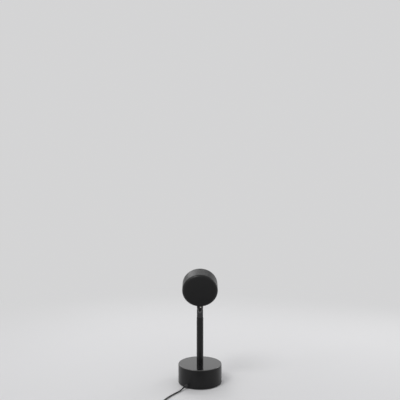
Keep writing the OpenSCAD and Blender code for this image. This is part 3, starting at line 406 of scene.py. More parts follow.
def sunset_filter(name):
    """Coated glass whose colour runs from red in the middle through orange to a yellow rim, with a painted
    glow in the same colours for the light source shining through it.
    """
    f = Finish(name, (0.9, 0.3, 0.05), 0.08,
               **{"Coat Weight": 0.2, "Coat Roughness": 0.03, "Emission Strength": 0.6})
    uneven = f.noise(0.006, 2) * 0.0014 - 0.0007
    level = (f.around(in_beam(f))[0] + uneven) * (1 / (FILTER_R * MM))
    tone = f.shades(level, [
        (0.0, (0.95, 0.035, 0.008)), (0.34, (0.98, 0.07, 0.01)), (0.62, (1.0, 0.2, 0.012)),
        (0.84, (1.0, 0.36, 0.02)), (1.0, (1.0, 0.6, 0.08))])
    # The emission is a painted glow: it stands for the light of the light source behind, seen through the
    # filter
    f.skin_set(Base_Color=tone, Emission_Color=tone,
               Roughness=0.06 + f.noise(0.0009, 2).between(0.7, 0.8) * 0.25)
    f.bumps((f.noise(0.003, 2), 0.000004))
    return f.material


def circuit_board(name):
    """Green solder mask over copper tracks."""
    f = Finish(name, (0.01, 0.11, 0.045), 0.32, **{"Coat Weight": 0.3, "Coat Roughness": 0.1})
    place = f.turned(rotation=(0, 0, math.radians(45)), kind="POINT")
    tracks = f.node("ShaderNodeTexBrick", {"offset": 0.5}, {
        "Vector": place, "Scale": 260.0, "Mortar Size": 0.09, "Mortar Smooth": 0.2,
        "Color1": (*grey(0), 1), "Color2": (*grey(0.3), 1), "Mortar": (*grey(1), 1)})
    line = f.node("ShaderNodeRGBToBW", sockets={0: tracks.outputs["Color"]})
    copper, weave = Level(f, line.outputs[0]), f.noise(0.0005, 2)
    f.skin_set(Base_Color=f.mix(copper * 0.6, (0.006, 0.085, 0.035), (0.03, 0.2, 0.07)),
               Roughness=0.28 + weave * 0.12)
    f.bumps((copper, 0.00003), (weave, 0.000008))
    return f.material


def board_parts(name):
    """The dark cases of the parts on the boards."""
    f = Finish(name, (0.03, 0.03, 0.033), 0.4)
    fine, wound = f.noise(0.0004, 3), f.noise(0.0012, 2).between(0.45, 0.55)
    f.skin_set(Base_Color=f.mix(wound * 0.5, (0.02, 0.02, 0.022), (0.07, 0.068, 0.066)),
               Roughness=0.34 + fine * 0.18)
    f.bumps((fine, 0.00002))
    return f.material


def cast_iron(name):
    """Rough cast iron with a little rust."""
    f = Finish(name, (0.07, 0.07, 0.072), 0.68, 0.55)
    sand, slow = f.noise(0.0009, 4, rough=0.65), f.noise(0.01, 3)
    rust = f.noise(0.004, 5, rough=0.7).between(0.6, 0.78)
    skin = f.mix(sand, (0.045, 0.045, 0.047), (0.12, 0.12, 0.122))
    f.skin_set(Base_Color=f.mix(rust * 0.4, skin, (0.16, 0.07, 0.03)),
               Roughness=0.58 + sand * 0.2, Metallic=0.6 - rust * 0.5)
    f.bumps((sand, 0.00014), (slow, 0.0002))
    return f.material


def light_source(name):
    """The yellow chip of the light source, bright in its middle."""
    f = Finish(name, (0.95, 0.72, 0.18), 0.25, **{"Coat Weight": 0.8, "Emission Strength": 1.0})
    glow = 1 - f.around(in_beam(f))[0].between(0.0008, 0.0036)
    f.skin_set(Emission_Color=f.mix(glow, (0.05, 0.03, 0.01), (1.0, 0.72, 0.35)),
               Base_Color=f.mix(f.noise(0.0005, 2), (0.9, 0.66, 0.12), (0.96, 0.78, 0.3)))
    f.bumps((f.noise(0.0004, 2), 0.00001))
    return f.material


FINISH = {material.name.split(".")[0]: material for material in (
    black_paint("base_paint", 0.005, 0.32, 0.0005, base_rim_wear_and_highlight, base_top),
    black_paint("drum_paint", 0.0055, 0.34, 0.00045, drum_rim_wear),
    black_paint("bezel_paint", 0.006, 0.3, 0.0004, bezel_wear),
    black_paint("pole_paint", 0.005, 0.22, 0.0005),
    bare_metal("neck_metal", (0.055, 0.054, 0.056), 0.36, 0.0003, (1, 1, 6)),
    bare_metal("tongue_metal", (0.035, 0.034, 0.036), 0.38, 0.0003, (1, 1, 6)),
    bare_metal("nickel", (0.62, 0.60, 0.56), 0.24, 0.0003, (8, 1, 1)),
    bare_metal("plug_steel", (0.5, 0.495, 0.48), 0.28, 0.00022, (0.12, 1, 1), 0.08),
    bare_metal("dark_screws", (0.16, 0.16, 0.165), 0.34, 0.0003),
    bare_metal("plate_steel", (0.42, 0.42, 0.40), 0.38, 0.0008, (1, 5, 1)),
    bare_metal("brass", (0.68, 0.5, 0.22), 0.3, 0.0004, (1, 1, 8)),
    bare_metal("bare_aluminium", (0.62, 0.63, 0.64), 0.34, 0.0005),
    bare_metal("gold_contacts", (0.86, 0.62, 0.25), 0.2, 0.0003, (1, 6, 1)),
    turned_metal("gold_ring", (0.83, 0.57, 0.23), 0.2, 0.00007),
    rubber("black_rubber", (0.017, 0.017, 0.018), 0.62),
    moulded("black_plastic", (0.016, 0.016, 0.017), 0.5),
    moulded("button_plastic", (0.035, 0.035, 0.038), 0.36, 0.0005, 0.000012),
    moulded("ivory_plastic", (0.72, 0.69, 0.6), 0.42, 0.0006, 0.00001, 0.15),
    moulded("pale_wire", (0.58, 0.57, 0.52), 0.45, 0.0005, 0.00001),
    moulded("grey_pad", (0.38, 0.4, 0.46), 0.7, 0.0006, 0.00003),
    moulded("white_board", (0.76, 0.76, 0.73), 0.38, 0.0006, 0.000008, 0.1),
    cast_iron("cast_iron"), foot_foam("foot_foam"), lead_jacket("lead_jacket"),
    circuit_board("circuit_board"), board_parts("board_parts"), light_source("light_source"),
    clear_glass("lens_glass"), sunset_filter("sunset_filter"))}
# A CAD node that stays takes the finish with its slot's name, or the one named here
SLOT_FINISH = {
    "black_shell": "drum_paint", "black_pole": "pole_paint", "iron": "cast_iron", "foam": "foot_foam",
    "black_lead": "lead_jacket", "colour_filter": "sunset_filter"}
SLOT_OF = {}
for node, item in NODES.items():
    for slot in item.material_slots:
        SLOT_OF[node] = slot.material.name.split(".")[0]
        slot.material = FINISH[SLOT_FINISH.get(SLOT_OF[node], SLOT_OF[node])]


# ------ pieces
def show(obj):
    bpy.context.scene.collection.objects.link(obj)
    return obj


def dress(obj, finish, body="stand", stands_for=(), smooth=40):
    """Puts a mesh in the scene in its finish; the CAD nodes it stands for are hidden."""
    show(obj).data.materials.clear()
    obj.data.materials.append(FINISH[finish])
    obj.data.shade_smooth()
    obj.data.set_sharp_from_angle(angle=math.radians(smooth))
    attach(obj, body)
    if stands_for:
        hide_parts(*stands_for)
    return obj


def closed_mesh(mesh, place, scale=1.0):
    """Joins a mesh's double points, puts it in its place and turns its faces outward."""
    shape = bmesh.new()
    shape.from_mesh(mesh)
    bmesh.ops.scale(shape, vec=(scale, scale, scale), verts=shape.verts)
    bmesh.ops.remove_doubles(shape, verts=shape.verts, dist=1e-7)
    bmesh.ops.transform(shape, matrix=place, verts=shape.verts)
    bmesh.ops.recalc_face_normals(shape, faces=shape.faces)
    shape.to_mesh(mesh)
    shape.free()


def piece(name, shape, finish, body="stand", stands_for=(), smooth=40, place=Matrix()):
    """A closed mesh from points in millimetres and the faces between them."""
    verts, faces = shape
    mesh = bpy.data.meshes.new(name)
    mesh.from_pydata([tuple(v) for v in verts], [], [tuple(f) for f in faces])
    closed_mesh(mesh, place, MM)
    return dress(bpy.data.objects.new(name, mesh), finish, body, stands_for, smooth)


def softened(node, name, width, finish, body="stand"):
    """A CAD node's shape with its loose triangles joined and its sharp edges eased."""
    shape = bmesh.new()
    shape.from_mesh(NODES[node].data)
    bmesh.ops.remove_doubles(shape, verts=shape.verts, dist=1e-7)
    bmesh.ops.dissolve_limit(shape, angle_limit=math.radians(0.5), verts=shape.verts, edges=shape.edges)
    sharp = [e for e in shape.edges if len(e.link_faces) == 2 and e.calc_face_angle() > math.radians(25)]
    bmesh.ops.bevel(shape, geom=sharp, offset=width * MM, segments=2, profile=0.5, affect="EDGES",
                    clamp_overlap=True)
    verts = [v.co / MM for v in shape.verts]
    faces = [[v.index for v in face.verts] for face in shape.faces]
    shape.free()
    return piece(name, (verts, faces), finish, body, [node], smooth=20)


def eased_corners(outline):
    """The outline with its corners rounded; a corner is (r, z, radius), or (r, z) for 0.3 mm."""
    points, count = [], len(outline)
    for i, corner in enumerate(outline):
        here = Vector(corner[:2])
        size = corner[2] if len(corner) > 2 else 0.3
        if size <= 0 or corner[0] == 0:
            points.append(tuple(here))
            continue
        before, after = Vector(outline[i - 1][:2]), Vector(outline[(i + 1) % count][:2])
        one, two = (before - here).normalized(), (after - here).normalized()
        bend = one.angle(two)
        if bend > math.radians(178):
            points.append(tuple(here))
            continue
        back = min(size / math.tan(bend / 2), 0.49 * (before - here).length, 0.49 * (after - here).length)
        size = back * math.tan(bend / 2)
        middle = here + (one + two).normalized() * (size / math.sin(bend / 2))
        start, end = (here + one * back - middle).normalized(), (here + two * back - middle).normalized()
        steps = 14 if size > 2 else 4
        hold = min(0.15, 0.3 * back)
        points.append(tuple(here + one * (back + hold)))
        points += [tuple(middle + start.slerp(end, k / steps) * size) for k in range(steps + 1)]
        points.append(tuple(here + two * (back + hold)))
    return points


def turned(outline, around):
    """An outline of (radius, height) turned about Z; it closes on itself or runs from axis to axis."""
    verts, rings, faces = [], [], []
    for r, z in outline:
        start = len(verts)
        verts += [(0, 0, z)] if r < 1e-6 else ring_of(around, r, z)
        rings.append(list(range(start, len(verts))))
    for a, b in zip(rings, rings[1:] + rings[:1]):
        for k in range(around):
            m = (k + 1) % around
            loop = [a[k % len(a)], a[m % len(a)], b[m % len(b)], b[k % len(b)]]
            loop = list(dict.fromkeys(loop))
            if len(loop) > 2:
                faces.append(loop)
    return verts, faces


def lathe(outline, around):
    return turned(eased_corners(outline), around)


def dome(width, height, foot, steps):
    """Points of a dome over the axis, from its rim at the height foot to its top."""
    radius = (width ** 2 + height ** 2) / (2 * height)
    rim = math.asin(width / radius)
    return [(radius * math.sin(a), foot + height - radius + radius * math.cos(a))
            for a in (rim * (1 - k / steps) for k in range(steps + 1))]


def ring_of(count, radius, z):
    """A round row of points."""
    return [(radius * math.cos(a), radius * math.sin(a), z)
            for a in (2 * math.pi * k / count for k in range(count))]


def loop_of(length, width, corner, z):
    """One row of points round a block with round corners."""
    row, steps = [], 6
    for cx, cy, turn in ((1, 1, 0), (-1, 1, 90), (-1, -1, 180), (1, -1, 270)):
        for k in range(steps + 1):
            a = math.radians(turn + 90 * k / steps)
            row.append((cx * (length / 2 - corner) + corner * math.cos(a),
                        cy * (width / 2 - corner) + corner * math.sin(a), z))
    return row


def joined_rows(rows, closed=False):
    """Rows of equally many points joined one to the next; open ends are capped."""
    count, verts, faces = len(rows[0]), [p for row in rows for p in row], []
    for j in range(len(rows) if closed else len(rows) - 1):
        n = (j + 1) % len(rows)
        for k in range(count):
            m = (k + 1) % count
            faces.append((j * count + k, j * count + m, n * count + m, n * count + k))
    if not closed:
        faces.append(tuple(reversed(range(count))))
        faces.append(tuple(range((len(rows) - 1) * count, len(rows) * count)))
    return verts, faces


def round_block(length, width, height, corner, edge):
    """A block standing on z = 0 with round upright corners and eased top and bottom edges."""
    ease = [(edge - edge * math.sin(a), edge - edge * math.cos(a))
            for a in (math.pi / 2 * k / 4 for k in range(5))]
    ease += [(i, height - z) for i, z in reversed(ease)]
    return joined_rows([loop_of(length - 2 * i, width - 2 * i, corner - i, z) for i, z in ease])


def tube(points, radius, sides):
    """Rings along a line of points, square to it and without a twist, with closed ends."""
    last = len(points) - 1
    ways = [(points[min(i + 1, last)] - points[max(i - 1, 0)]).normalized() for i in range(last + 1)]
    side = ways[0].cross(Vector((0, 0, 1))).normalized()
    rings = []
    for point, way in zip(points, ways):
        side = (side - way * side.dot(way)).normalized()
        up = side.cross(way)
        rings.append([point + radius * (math.cos(a) * side + math.sin(a) * up)
                      for a in (2 * math.pi * k / sides for k in range(sides))])
    return joined_rows(rings)


# ------ the lead's route
GLAND_WAY = Vector((math.cos(math.radians(LEAD_TURN)), math.sin(math.radians(LEAD_TURN)), 0))
SLEEVE_END = LEAD_START + GLAND_L
# Listed points; the lead lies on the floor where z is its radius
LEAD_ROUTE = [GLAND_WAY * r + Vector((0, 0, LEAD_H)) for r in (SLEEVE_END, SLEEVE_END + 2 * CORD_R)] + [
    (-34, -46.5, 3.9), (-36.2, -49.6, 2.7), (-38.6, -53, 1.8), (-41.5, -57, 1.4), (-46, -63, 1.4),
    (-51, -70, 1.4), (-56, -77.5, 1.4), (-61, -85.5, 1.4), (-65.5, -94.5, 1.4), (-69, -104, 1.4),
    (-71, -113, 1.4), (-71, -121, 1.6), (-68.5, -128, 2.2), (-64, -133, 3), (-59, -136, 4),
    (-55, -137, 4.8), (-52.8, -137, 5), (-50, -137, 5)]
LINK_ROUTE = [(6, -137, 5), (8.8, -137, 5), (14, -136.8, 4.4), (20, -136, 3.2), (26, -134.6, 2.5),
              (30.4, -134.05, 2.3), (33.2, -134.05, 2.3)]
TAIL_ROUTE = [(33.2, -174.3, 12.2), (30.4, -174.3, 12.2), (26, -174.2, 12), (21, -173.8, 11),
              (15, -172.6, 8.6), (9.5, -171, 6), (5, -169.6, 4.4), (0.8, -169, 4), (-2, -169, 4)]


def climb(u):
    u = min(1, max(0, u))
    return u * u * (3 - 2 * u)


def coil_point(t):
    """The coil winds in and out by turns, three turns a layer, and climbs where it turns back."""
    u = t % (2 * LAYER_TURNS)
    r = COIL_R - COIL_STEP * min(u, 2 * LAYER_TURNS - u)
    z = COIL_LOW + COIL_STEP * sum(climb(2 * (t - LAYER_TURNS * k) + 0.5) for k in (1, 2, 3))
    a = math.radians(90 - 360 * t)
    return Vector((COIL_X + r * math.cos(a), COIL_Y + r * math.sin(a), z))


def eased(points):
    """A smooth line through the given points, in steps of about the lead's radius."""
    pts = [Vector(p) for p in points]
    ends = [2 * pts[0] - pts[1]] + pts + [2 * pts[-1] - pts[-2]]
    line = []
    for a, b, c, d in zip(ends, ends[1:], ends[2:], ends[3:]):
        parts = max(2, round((c - b).length / CORD_R))
        for k in range(parts):
            t = k / parts
            line.append(0.5 * ((2 * b) + (c - a) * t + (2 * a - 5 * b + 4 * c - d) * t * t
                               + (3 * b - a - 3 * c + d) * t ** 3))
    return line + [pts[-1]]


def lead_piece(name, line, stands_for, **facts):
    """A stretch of the lead, with a map of its length and its turn for the drawn marks."""
    obj = piece(name, tube(line, CORD_R, CORD_SIDES), "lead_jacket", stands_for=stands_for, smooth=50)
    run = [0.0]
    for a, b in zip(line, line[1:]):
        run.append(run[-1] + (b - a).length * MM)
    along = obj.data.uv_layers.new(name="along")
    for face in obj.data.polygons:
        ks = [obj.data.loops[i].vertex_index for i in face.loop_indices]
        turns = [k % CORD_SIDES for k in ks]
        wraps = 0 in turns and CORD_SIDES - 1 in turns
        for i, k, turn in zip(face.loop_indices, ks, turns):
            share = (CORD_SIDES if wraps and turn == 0 else turn) / CORD_SIDES
            along.data[i].uv = (run[k // CORD_SIDES], share * 2 * CORD_R * MM * math.pi)
    [p * MM for p in line]
    line[0] * MM
    return obj


# ------ what repeats
class Maker(Nodes):
    """A Geometry Nodes tree with named inputs that ends in real, painted geometry."""

    def __init__(self, name, **inputs):
        super().__init__(bpy.data.node_groups.new(name, "GeometryNodeTree"))
        for label, kind in {**inputs, "Finish": "Material"}.items():
            self.tree.interface.new_socket(label, in_out="INPUT", socket_type="NodeSocket" + kind)
        self.tree.interface.new_socket("Geometry", in_out="OUTPUT", socket_type="NodeSocketGeometry")
        self.given = {socket.name: Level(self, socket) for socket in self.node("NodeGroupInput").outputs}

    def add(self, kind, settings=None, **sockets):
        """One node's first output; an underline in a socket's name stands for a space."""
        named = {key.replace("_", " "): value for key, value in sockets.items()}
        return Level(self, self.node(kind, settings, named).outputs[0])

    def row(self, **step):
        """Count points, one step apart."""
        return self.add("GeometryNodeMeshLine", {"mode": "OFFSET"}, Count=self.given["Count"],
                        Offset=self.add("ShaderNodeCombineXYZ", **step))

    def close(self, points, instance, scale):
        """Ends the tree: the instance at every point, made real, in its finish."""
        many = self.add("GeometryNodeInstanceOnPoints", Points=points, Instance=instance, Scale=scale)
        real = self.add("GeometryNodeRealizeInstances", Geometry=many)
        paint = self.add("GeometryNodeSetMaterial", Geometry=real, Material=self.given["Finish"])
        self.node("NodeGroupOutput", sockets={"Geometry": paint})
        return self

    def make(self, name, finish, place, slot, **values):
        """Sets the inputs, turns the result into a plain mesh and puts it in its place."""
        holder = show(bpy.data.objects.new(name + "_maker", bpy.data.meshes.new(name + "_maker")))
        step = holder.modifiers.new("make", "NODES")
        step.node_group = self.tree
        values["Finish"] = FINISH[finish]
        for item in self.tree.interface.items_tree:
            if item.in_out == "INPUT":
                step[item.identifier] = values[item.name]
        made = holder.evaluated_get(bpy.context.evaluated_depsgraph_get())
        mesh = bpy.data.meshes.new_from_object(made)
        holder.modifiers.remove(step)
        bpy.data.objects.remove(holder)
        closed_mesh(mesh, place)
        mesh.name = name
        return dress(bpy.data.objects.new(name, mesh), finish)


def taper_ribs():
    """Round ribs on a taper, smaller one by one, evenly spaced along Z."""
    m = Maker("ribs_on_a_taper", Count="Int", Pitch="Float", Start_Radius="Float", End_Radius="Float",
              Rib_Share="Float")
    size = m.node("ShaderNodeMapRange", sockets={
        "Value": m.add("GeometryNodeInputIndex"), "From Max": m.given["Count"] - 1,
        "To Min": m.given["Start_Radius"], "To Max": m.given["End_Radius"]}).outputs[0]
    rib = m.add("GeometryNodeCurveToMesh",
                Curve=m.add("GeometryNodeCurvePrimitiveCircle", Resolution=48, Radius=1.0),
                Profile_Curve=m.add("GeometryNodeCurvePrimitiveCircle", Resolution=8,
                                    Radius=m.given["Rib_Share"]))
    scale = m.add("ShaderNodeCombineXYZ", X=size, Y=size, Z=size)
    return m.close(m.row(Z=m.given["Pitch"]), rib, scale)


def grip_bars():
    """A row of slim round-ended bars, evenly spaced along X, each lying along Y."""
    m = Maker("grip_bars", Count="Int", Pitch="Float", Bar_Radius="Float", Bar_Length="Float",
              Flatness="Float")
    run = m.add("GeometryNodeCurvePrimitiveLine",
                Start=m.add("ShaderNodeCombineXYZ", Y=m.given["Bar_Length"] * -0.5),
                End=m.add("ShaderNodeCombineXYZ", Y=m.given["Bar_Length"] * 0.5))
    fine = m.add("GeometryNodeResampleCurve", {"mode": "COUNT"}, Curve=run, Count=13)
    from_middle = abs(m.add("GeometryNodeSplineParameter") * 2.0 - 1.0)
    thick = m.add("GeometryNodeSetCurveRadius", Curve=fine, Radius=(1.02 - from_middle ** 8.0) ** 0.5)
    section = m.add("GeometryNodeCurvePrimitiveCircle", Resolution=10, Radius=m.given["Bar_Radius"])
    bar = m.add("GeometryNodeCurveToMesh", Curve=thick, Profile_Curve=section, Fill_Caps=True)
    flat = m.add("ShaderNodeCombineXYZ", X=1.0, Y=1.0, Z=m.given["Flatness"])
    return m.close(m.row(X=m.given["Pitch"]), bar, flat)


RIBS, BARS = taper_ribs(), grip_bars()


def sleeve(name, outline, around, finish, place, ribs, ribs_name, stands_for=()):
    """A tapered sleeve on the lead, with its round ribs."""
    pitch, first, start, end, share = ribs
    piece(name, lathe(outline, around), finish, "stand", stands_for, place=place)
    RIBS.make(ribs_name, finish, place @ at(0, 0, first), finish, Count=RIB_COUNT, Pitch=pitch * MM,
              Start_Radius=start * MM, End_Radius=end * MM, Rib_Share=share)


# ------ base
def base():
    """The heavy base, a bevelled cup with a hole for the pole's stud, and the foam under it."""
    shell = [
        (BASE_R, BASE_LIFT, 0.4), (BASE_R, BASE_H - BASE_BEVEL, 0.5), (BASE_R - BASE_BEVEL, BASE_H, 0.5),
        (BASE_HOLE_R, BASE_H, 0), (BASE_HOLE_R, BASE_ROOM_H, 0), (BASE_ROOM_R, BASE_ROOM_H, 0.5),
        (BASE_ROOM_R, BASE_LIFT, 0.3)]
    piece("weighted_base", lathe(shell, 240), "base_paint", stands_for=["base_shell"], smooth=30)
    foot = [(0, 0), (FOOT_R, 0, 0.5), (FOOT_R, FOOT_H, 0.3), (0, FOOT_H)]
    piece("foam_foot", lathe(foot, 180), "foot_foam", stands_for=["foot_pad"])


def lead_sleeve():
    """The rubber sleeve that holds the lead in the base's wall."""
    outline = [
        (0, 0), (GLAND_R, 0, 0.2), (GLAND_R, GLAND_INNER, 0.2), (GLAND_NECK_R, GLAND_INNER, 0),
        (GLAND_NECK_R, GLAND_NECK, 0), (GLAND_R, GLAND_NECK, 0), (GLAND_R, GLAND_OUTER, 0.45),
        (GLAND_TAPER_R, GLAND_OUTER, 0.3), (SLEEVE_TIP_R, GLAND_L, 0.25), (0, GLAND_L)]
    place = at(0, 0, LEAD_H, LEAD_TURN) @ at(LEAD_START, 0, 0, turn_y=90)
    sleeve("lead_sleeve", outline, 64, "black_rubber", place, GLAND_RIBS, "lead_sleeve_ribs",
           ["lead_gland"])


# ------ pole and hinge
def pole_and_hinge():
    """The pole, the neck's fork, the head's tongue and the small bright rivet on its back."""
    softened("pole_tube", "pole", 0.2, "pole_paint")
    softened("neck_fork", "fork", 0.22, "neck_metal", "neck")
    softened("hinge_tongue", "tongue", 0.2, "tongue_metal", "head")
    rivet = [(0, RIVET_ROOT), (RIVET_R, RIVET_ROOT), (RIVET_R, 0.3, 0.15),
             (RIVET_FLAT_R, RIVET_H - 0.05, 0.5), (0, RIVET_H)]
    piece("tongue_rivet", lathe(rivet, 48), "nickel", "head",
          place=HEAD @ at(*RIVET_AT, turn_x=90))


# ------ drum head
def drum():
    """The drum: rounded at the rear, open at the front."""
    outline = [
        (0, 0), (DRUM_R, 0, DRUM_ROUND), (DRUM_R, DRUM_L, 0.35), (DRUM_BORE_R, DRUM_L, 0.2),
        (DRUM_BORE_R, DRUM_FLOOR + DRUM_FILLET, 0.3), (DRUM_BORE_R - DRUM_FILLET, DRUM_FLOOR, 0.3),
        (0, DRUM_FLOOR)]
    piece("drum", lathe(outline, 240), "drum_paint", "head", ["head_shell"], smooth=30,
          place=BEAM)


def bezel():
    """The sloping front of the drum, with a skirt inside it and a seat for the lens."""
    outline = [
        (SKIRT_R, SKIRT_END, 0.3), (SKIRT_R, DRUM_L, 0), (BEZEL_R, DRUM_L, 0.25), (BEZEL_R, BEZEL_RIM, 0.35),
        (BEZEL_FACE_R, BEZEL_FACE, 0.4), (LENS_SEAT_R, BEZEL_FACE, 0), (LENS_SEAT_R, LENS_SEAT, 0),
        (SIGHT_R, LENS_SEAT, 0.1), (SIGHT_R, LENS_LIP, 0.1), (SKIRT_BORE_R, LENS_LIP, 0),
        (SKIRT_BORE_R, SKIRT_END, 0)]
    piece("bezel", lathe(outline, 240), "bezel_paint", "head", ["front_bezel"], smooth=30, place=BEAM)


def trim_ring():
    """The gold ring over the lens, with a shallow groove in its face."""
    groove = RING_FACE - GROOVE_DEPTH
    outline = [
        (SIGHT_R, LENS_EDGE, 0), (LENS_R, LENS_EDGE, 0), (LENS_R, BEZEL_FACE, 0), (RING_R, BEZEL_FACE, 0.1),
        (RING_R, RING_FACE - RING_CHAMFER, 0.5), (RING_R - RING_CHAMFER, RING_FACE, 0.5),
        (GROOVE_OUT, RING_FACE, 0.15), (GROOVE_OUT - GROOVE_SLOPE, groove, 0.2),
        (GROOVE_IN + GROOVE_SLOPE, groove, 0.2), (GROOVE_IN, RING_FACE, 0.15),
        (SIGHT_R + RING_CHAMFER, RING_FACE, 0.5), (SIGHT_R, RING_FACE - RING_CHAMFER, 0.5)]
    piece("trim_ring", lathe(outline, 240), "gold_ring", "head", ["lens_ring"], smooth=30, place=BEAM)


def convex_lens():
    """The lens: flat behind, a dome in front."""
    edge = [(0, LENS_SEAT), (LENS_R - 0.2, LENS_SEAT), (LENS_R, LENS_SEAT + 0.2), (LENS_R, LENS_EDGE - 0.1),
            (LENS_R - 0.1, LENS_EDGE)]
    piece("convex_lens", turned(edge + dome(DOME_R, DOME_H, LENS_EDGE, 40), 200), "lens_glass", "head",
          ["lens"], smooth=25, place=BEAM)


# ------ in-line switch
def case_row(inset, z):
    return loop_of(CASE_L - 2 * inset, CASE_W - 2 * inset, CASE_CORNER - inset, z)


def switch_top(place):
    """The upper half of the switch's case, with a raised collar round the button."""
    rows = [case_row(0.15, CASE_SEAM), case_row(0, CASE_SEAM + 0.05), case_row(0, CASE_SEAM + 0.2)]
    for k in range(6):
        a = math.pi / 2 * k / 5
        rows.append(case_row(CASE_EDGE - CASE_EDGE * math.cos(a),
                             CASE_TOP - CASE_EDGE + CASE_EDGE * math.sin(a)))
    collar, under = CASE_TOP + KEY_COLLAR_H, CASE_TOP - CASE_WALL
    radii = (*KEY_COLLAR_R, KEY_HOLE_R, KEY_HOLE_R)
    for radius, z in zip(radii, (CASE_TOP, collar, collar, CASE_TOP, under)):
        rows.append(ring_of(len(rows[0]), radius, z))
    rows += [case_row(CASE_WALL, under), case_row(CASE_WALL, CASE_SEAM)]
    piece("switch_top", joined_rows(rows, closed=True), "black_plastic", stands_for=["switch_case_upper"],
          smooth=35, place=place)


def switch_key(place):
    """The round button: a dished top, a flange that keeps it in the case, and its stem."""
    outline = [
        (0, KEY_FLAT), (KEY_FLAT_R, KEY_FLAT + 0.02, 0), (KEY_DISH_R, KEY_DISH, 0.8),
        (KEY_RIM_R, KEY_TOP, 0.4), (KEY_R, KEY_SHOULDER, 0.5), (KEY_R, KEY_FLANGE_TOP, 0),
        (KEY_FLANGE_R, KEY_FLANGE_TOP, 0.1), (KEY_FLANGE_R, KEY_FLANGE, 0.1), (KEY_STEM_R, KEY_FLANGE, 0),
        (KEY_STEM_R, KEY_STEM, 0.2), (0, KEY_STEM)]
    piece("switch_key", lathe(outline, 72), "button_plastic", "button", ["switch_button"],
          smooth=30, place=place)


def switch_sleeves():
    """The sleeves where the lead enters and leaves the switch; the first stands for both."""
    outline = [(0, 0), (BOOT_NECK_R, 0, 0.1), (BOOT_NECK_R, BOOT_NECK, 0), (BOOT_R, BOOT_NECK, 0.2),
               (SLEEVE_TIP_R, BOOT_L, 0.25), (0, BOOT_L)]
    for side, name, stands_for in ((-1, "in", ["switch_boots"]), (1, "out", ())):
        place = at(SWITCH_X + side * BOOT_OUT, SWITCH_Y, SWITCH_LEAD_H, turn_y=90 * side)
        sleeve("switch_sleeve_" + name, outline, 48, "black_rubber", place, BOOT_RIBS,
               "switch_sleeve_ribs_" + name, stands_for)


def grips(name, x, y, z, width, bars):
    """A row of bars in the front and one in the back of a case that is width deep."""
    count, pitch, radius, length, flatness = bars
    first = x - pitch * (count - 1) / 2
    for side, end in ((-1, "front"), (1, "back")):
        BARS.make(name + "_" + end, "black_plastic", at(first, y + side * width / 2, z, turn_x=90),
                  "black_plastic", Count=count, Pitch=pitch * MM, Bar_Radius=radius * MM,
                  Bar_Length=length * MM, Flatness=flatness)


# ------ coil tie
def strap(path, width, thickness):
    """A strap across Y along a path in X and Z, its faces square to the path."""
    rows, last = [], len(path) - 1
    flat = width / 2 - TIE_LIP
    for i, point in enumerate(path):
        way = (Vector(path[min(i + 1, last)]) - Vector(path[max(i - 1, 0)])).normalized()
        out = Vector((way[1], -way[0])) * thickness
        rows.append([(point[0] + out[0] * t, y, point[1] + out[1] * t) for y, t in (
            (-flat, 1), (flat, 1), (width / 2, 0.8), (width / 2, 0.2),
            (flat, 0), (-flat, 0), (-width / 2, 0.2), (-width / 2, 0.8))])
    return joined_rows(rows)


def round_path(half, low, high, corner):
    """A path round the bundle, from the top past its near side and back over the top."""
    points = [(0.0, high)]
    for cx, cz, turn in ((half - corner, high - corner, 90), (half - corner, low + corner, 0),
                         (-half + corner, low + corner, -90), (-half + corner, high - corner, -180)):
        for k in range(9):
            a = math.radians(turn - 90 * k / 8)
            points.append((cx + corner * math.cos(a), cz + corner * math.sin(a)))
    return points


def tie_strap():
    """The strap round the coil, its loose end laid over its start."""
    loose_end = [(-1.5, TIE_HIGH + 0.05), (1.5, TIE_HIGH + 0.5), (4.2, TIE_HIGH + 0.5)]
    path = round_path(TIE_HALF, TIE_LOW, TIE_HIGH, TIE_CORNER) + loose_end
    piece("tie_strap", strap(path[::-1], TIE_W, -TIE_THICK), "black_rubber", stands_for=["coil_tie"],
          smooth=35, place=at(TIE_X, COIL_Y, 0))


# ------ plug
def plug():
    """The plug's grip, its sleeve and its steel shell."""
    piece("plug_body", round_block(PLUG_L, PLUG_W, PLUG_H, PLUG_CORNER, PLUG_EDGE), "black_plastic",
          stands_for=["plug_overmould"], smooth=50, place=at(PLUG_X, PLUG_Y, 0))
    outline = [(0, 0), (PLUG_BOOT_R, 0, 0.1), (PLUG_BOOT_R, PLUG_BOOT_ROOT, 0.1),
               (SLEEVE_TIP_R, PLUG_BOOT_L, 0.25), (0, PLUG_BOOT_L)]
    place = at(PLUG_X + PLUG_L / 2 - PLUG_BOOT_ROOT, PLUG_Y, PLUG_LEAD_H, turn_y=90)
    sleeve("plug_sleeve", outline, 48, "black_plastic", place, PLUG_RIBS, "plug_sleeve_ribs")
    grips("plug_grip", PLUG_X, PLUG_Y, PLUG_LEAD_H, PLUG_GRIP_W, PLUG_BARS)
    softened("plug_shell", "plug_sheath", 0.12, "plug_steel")


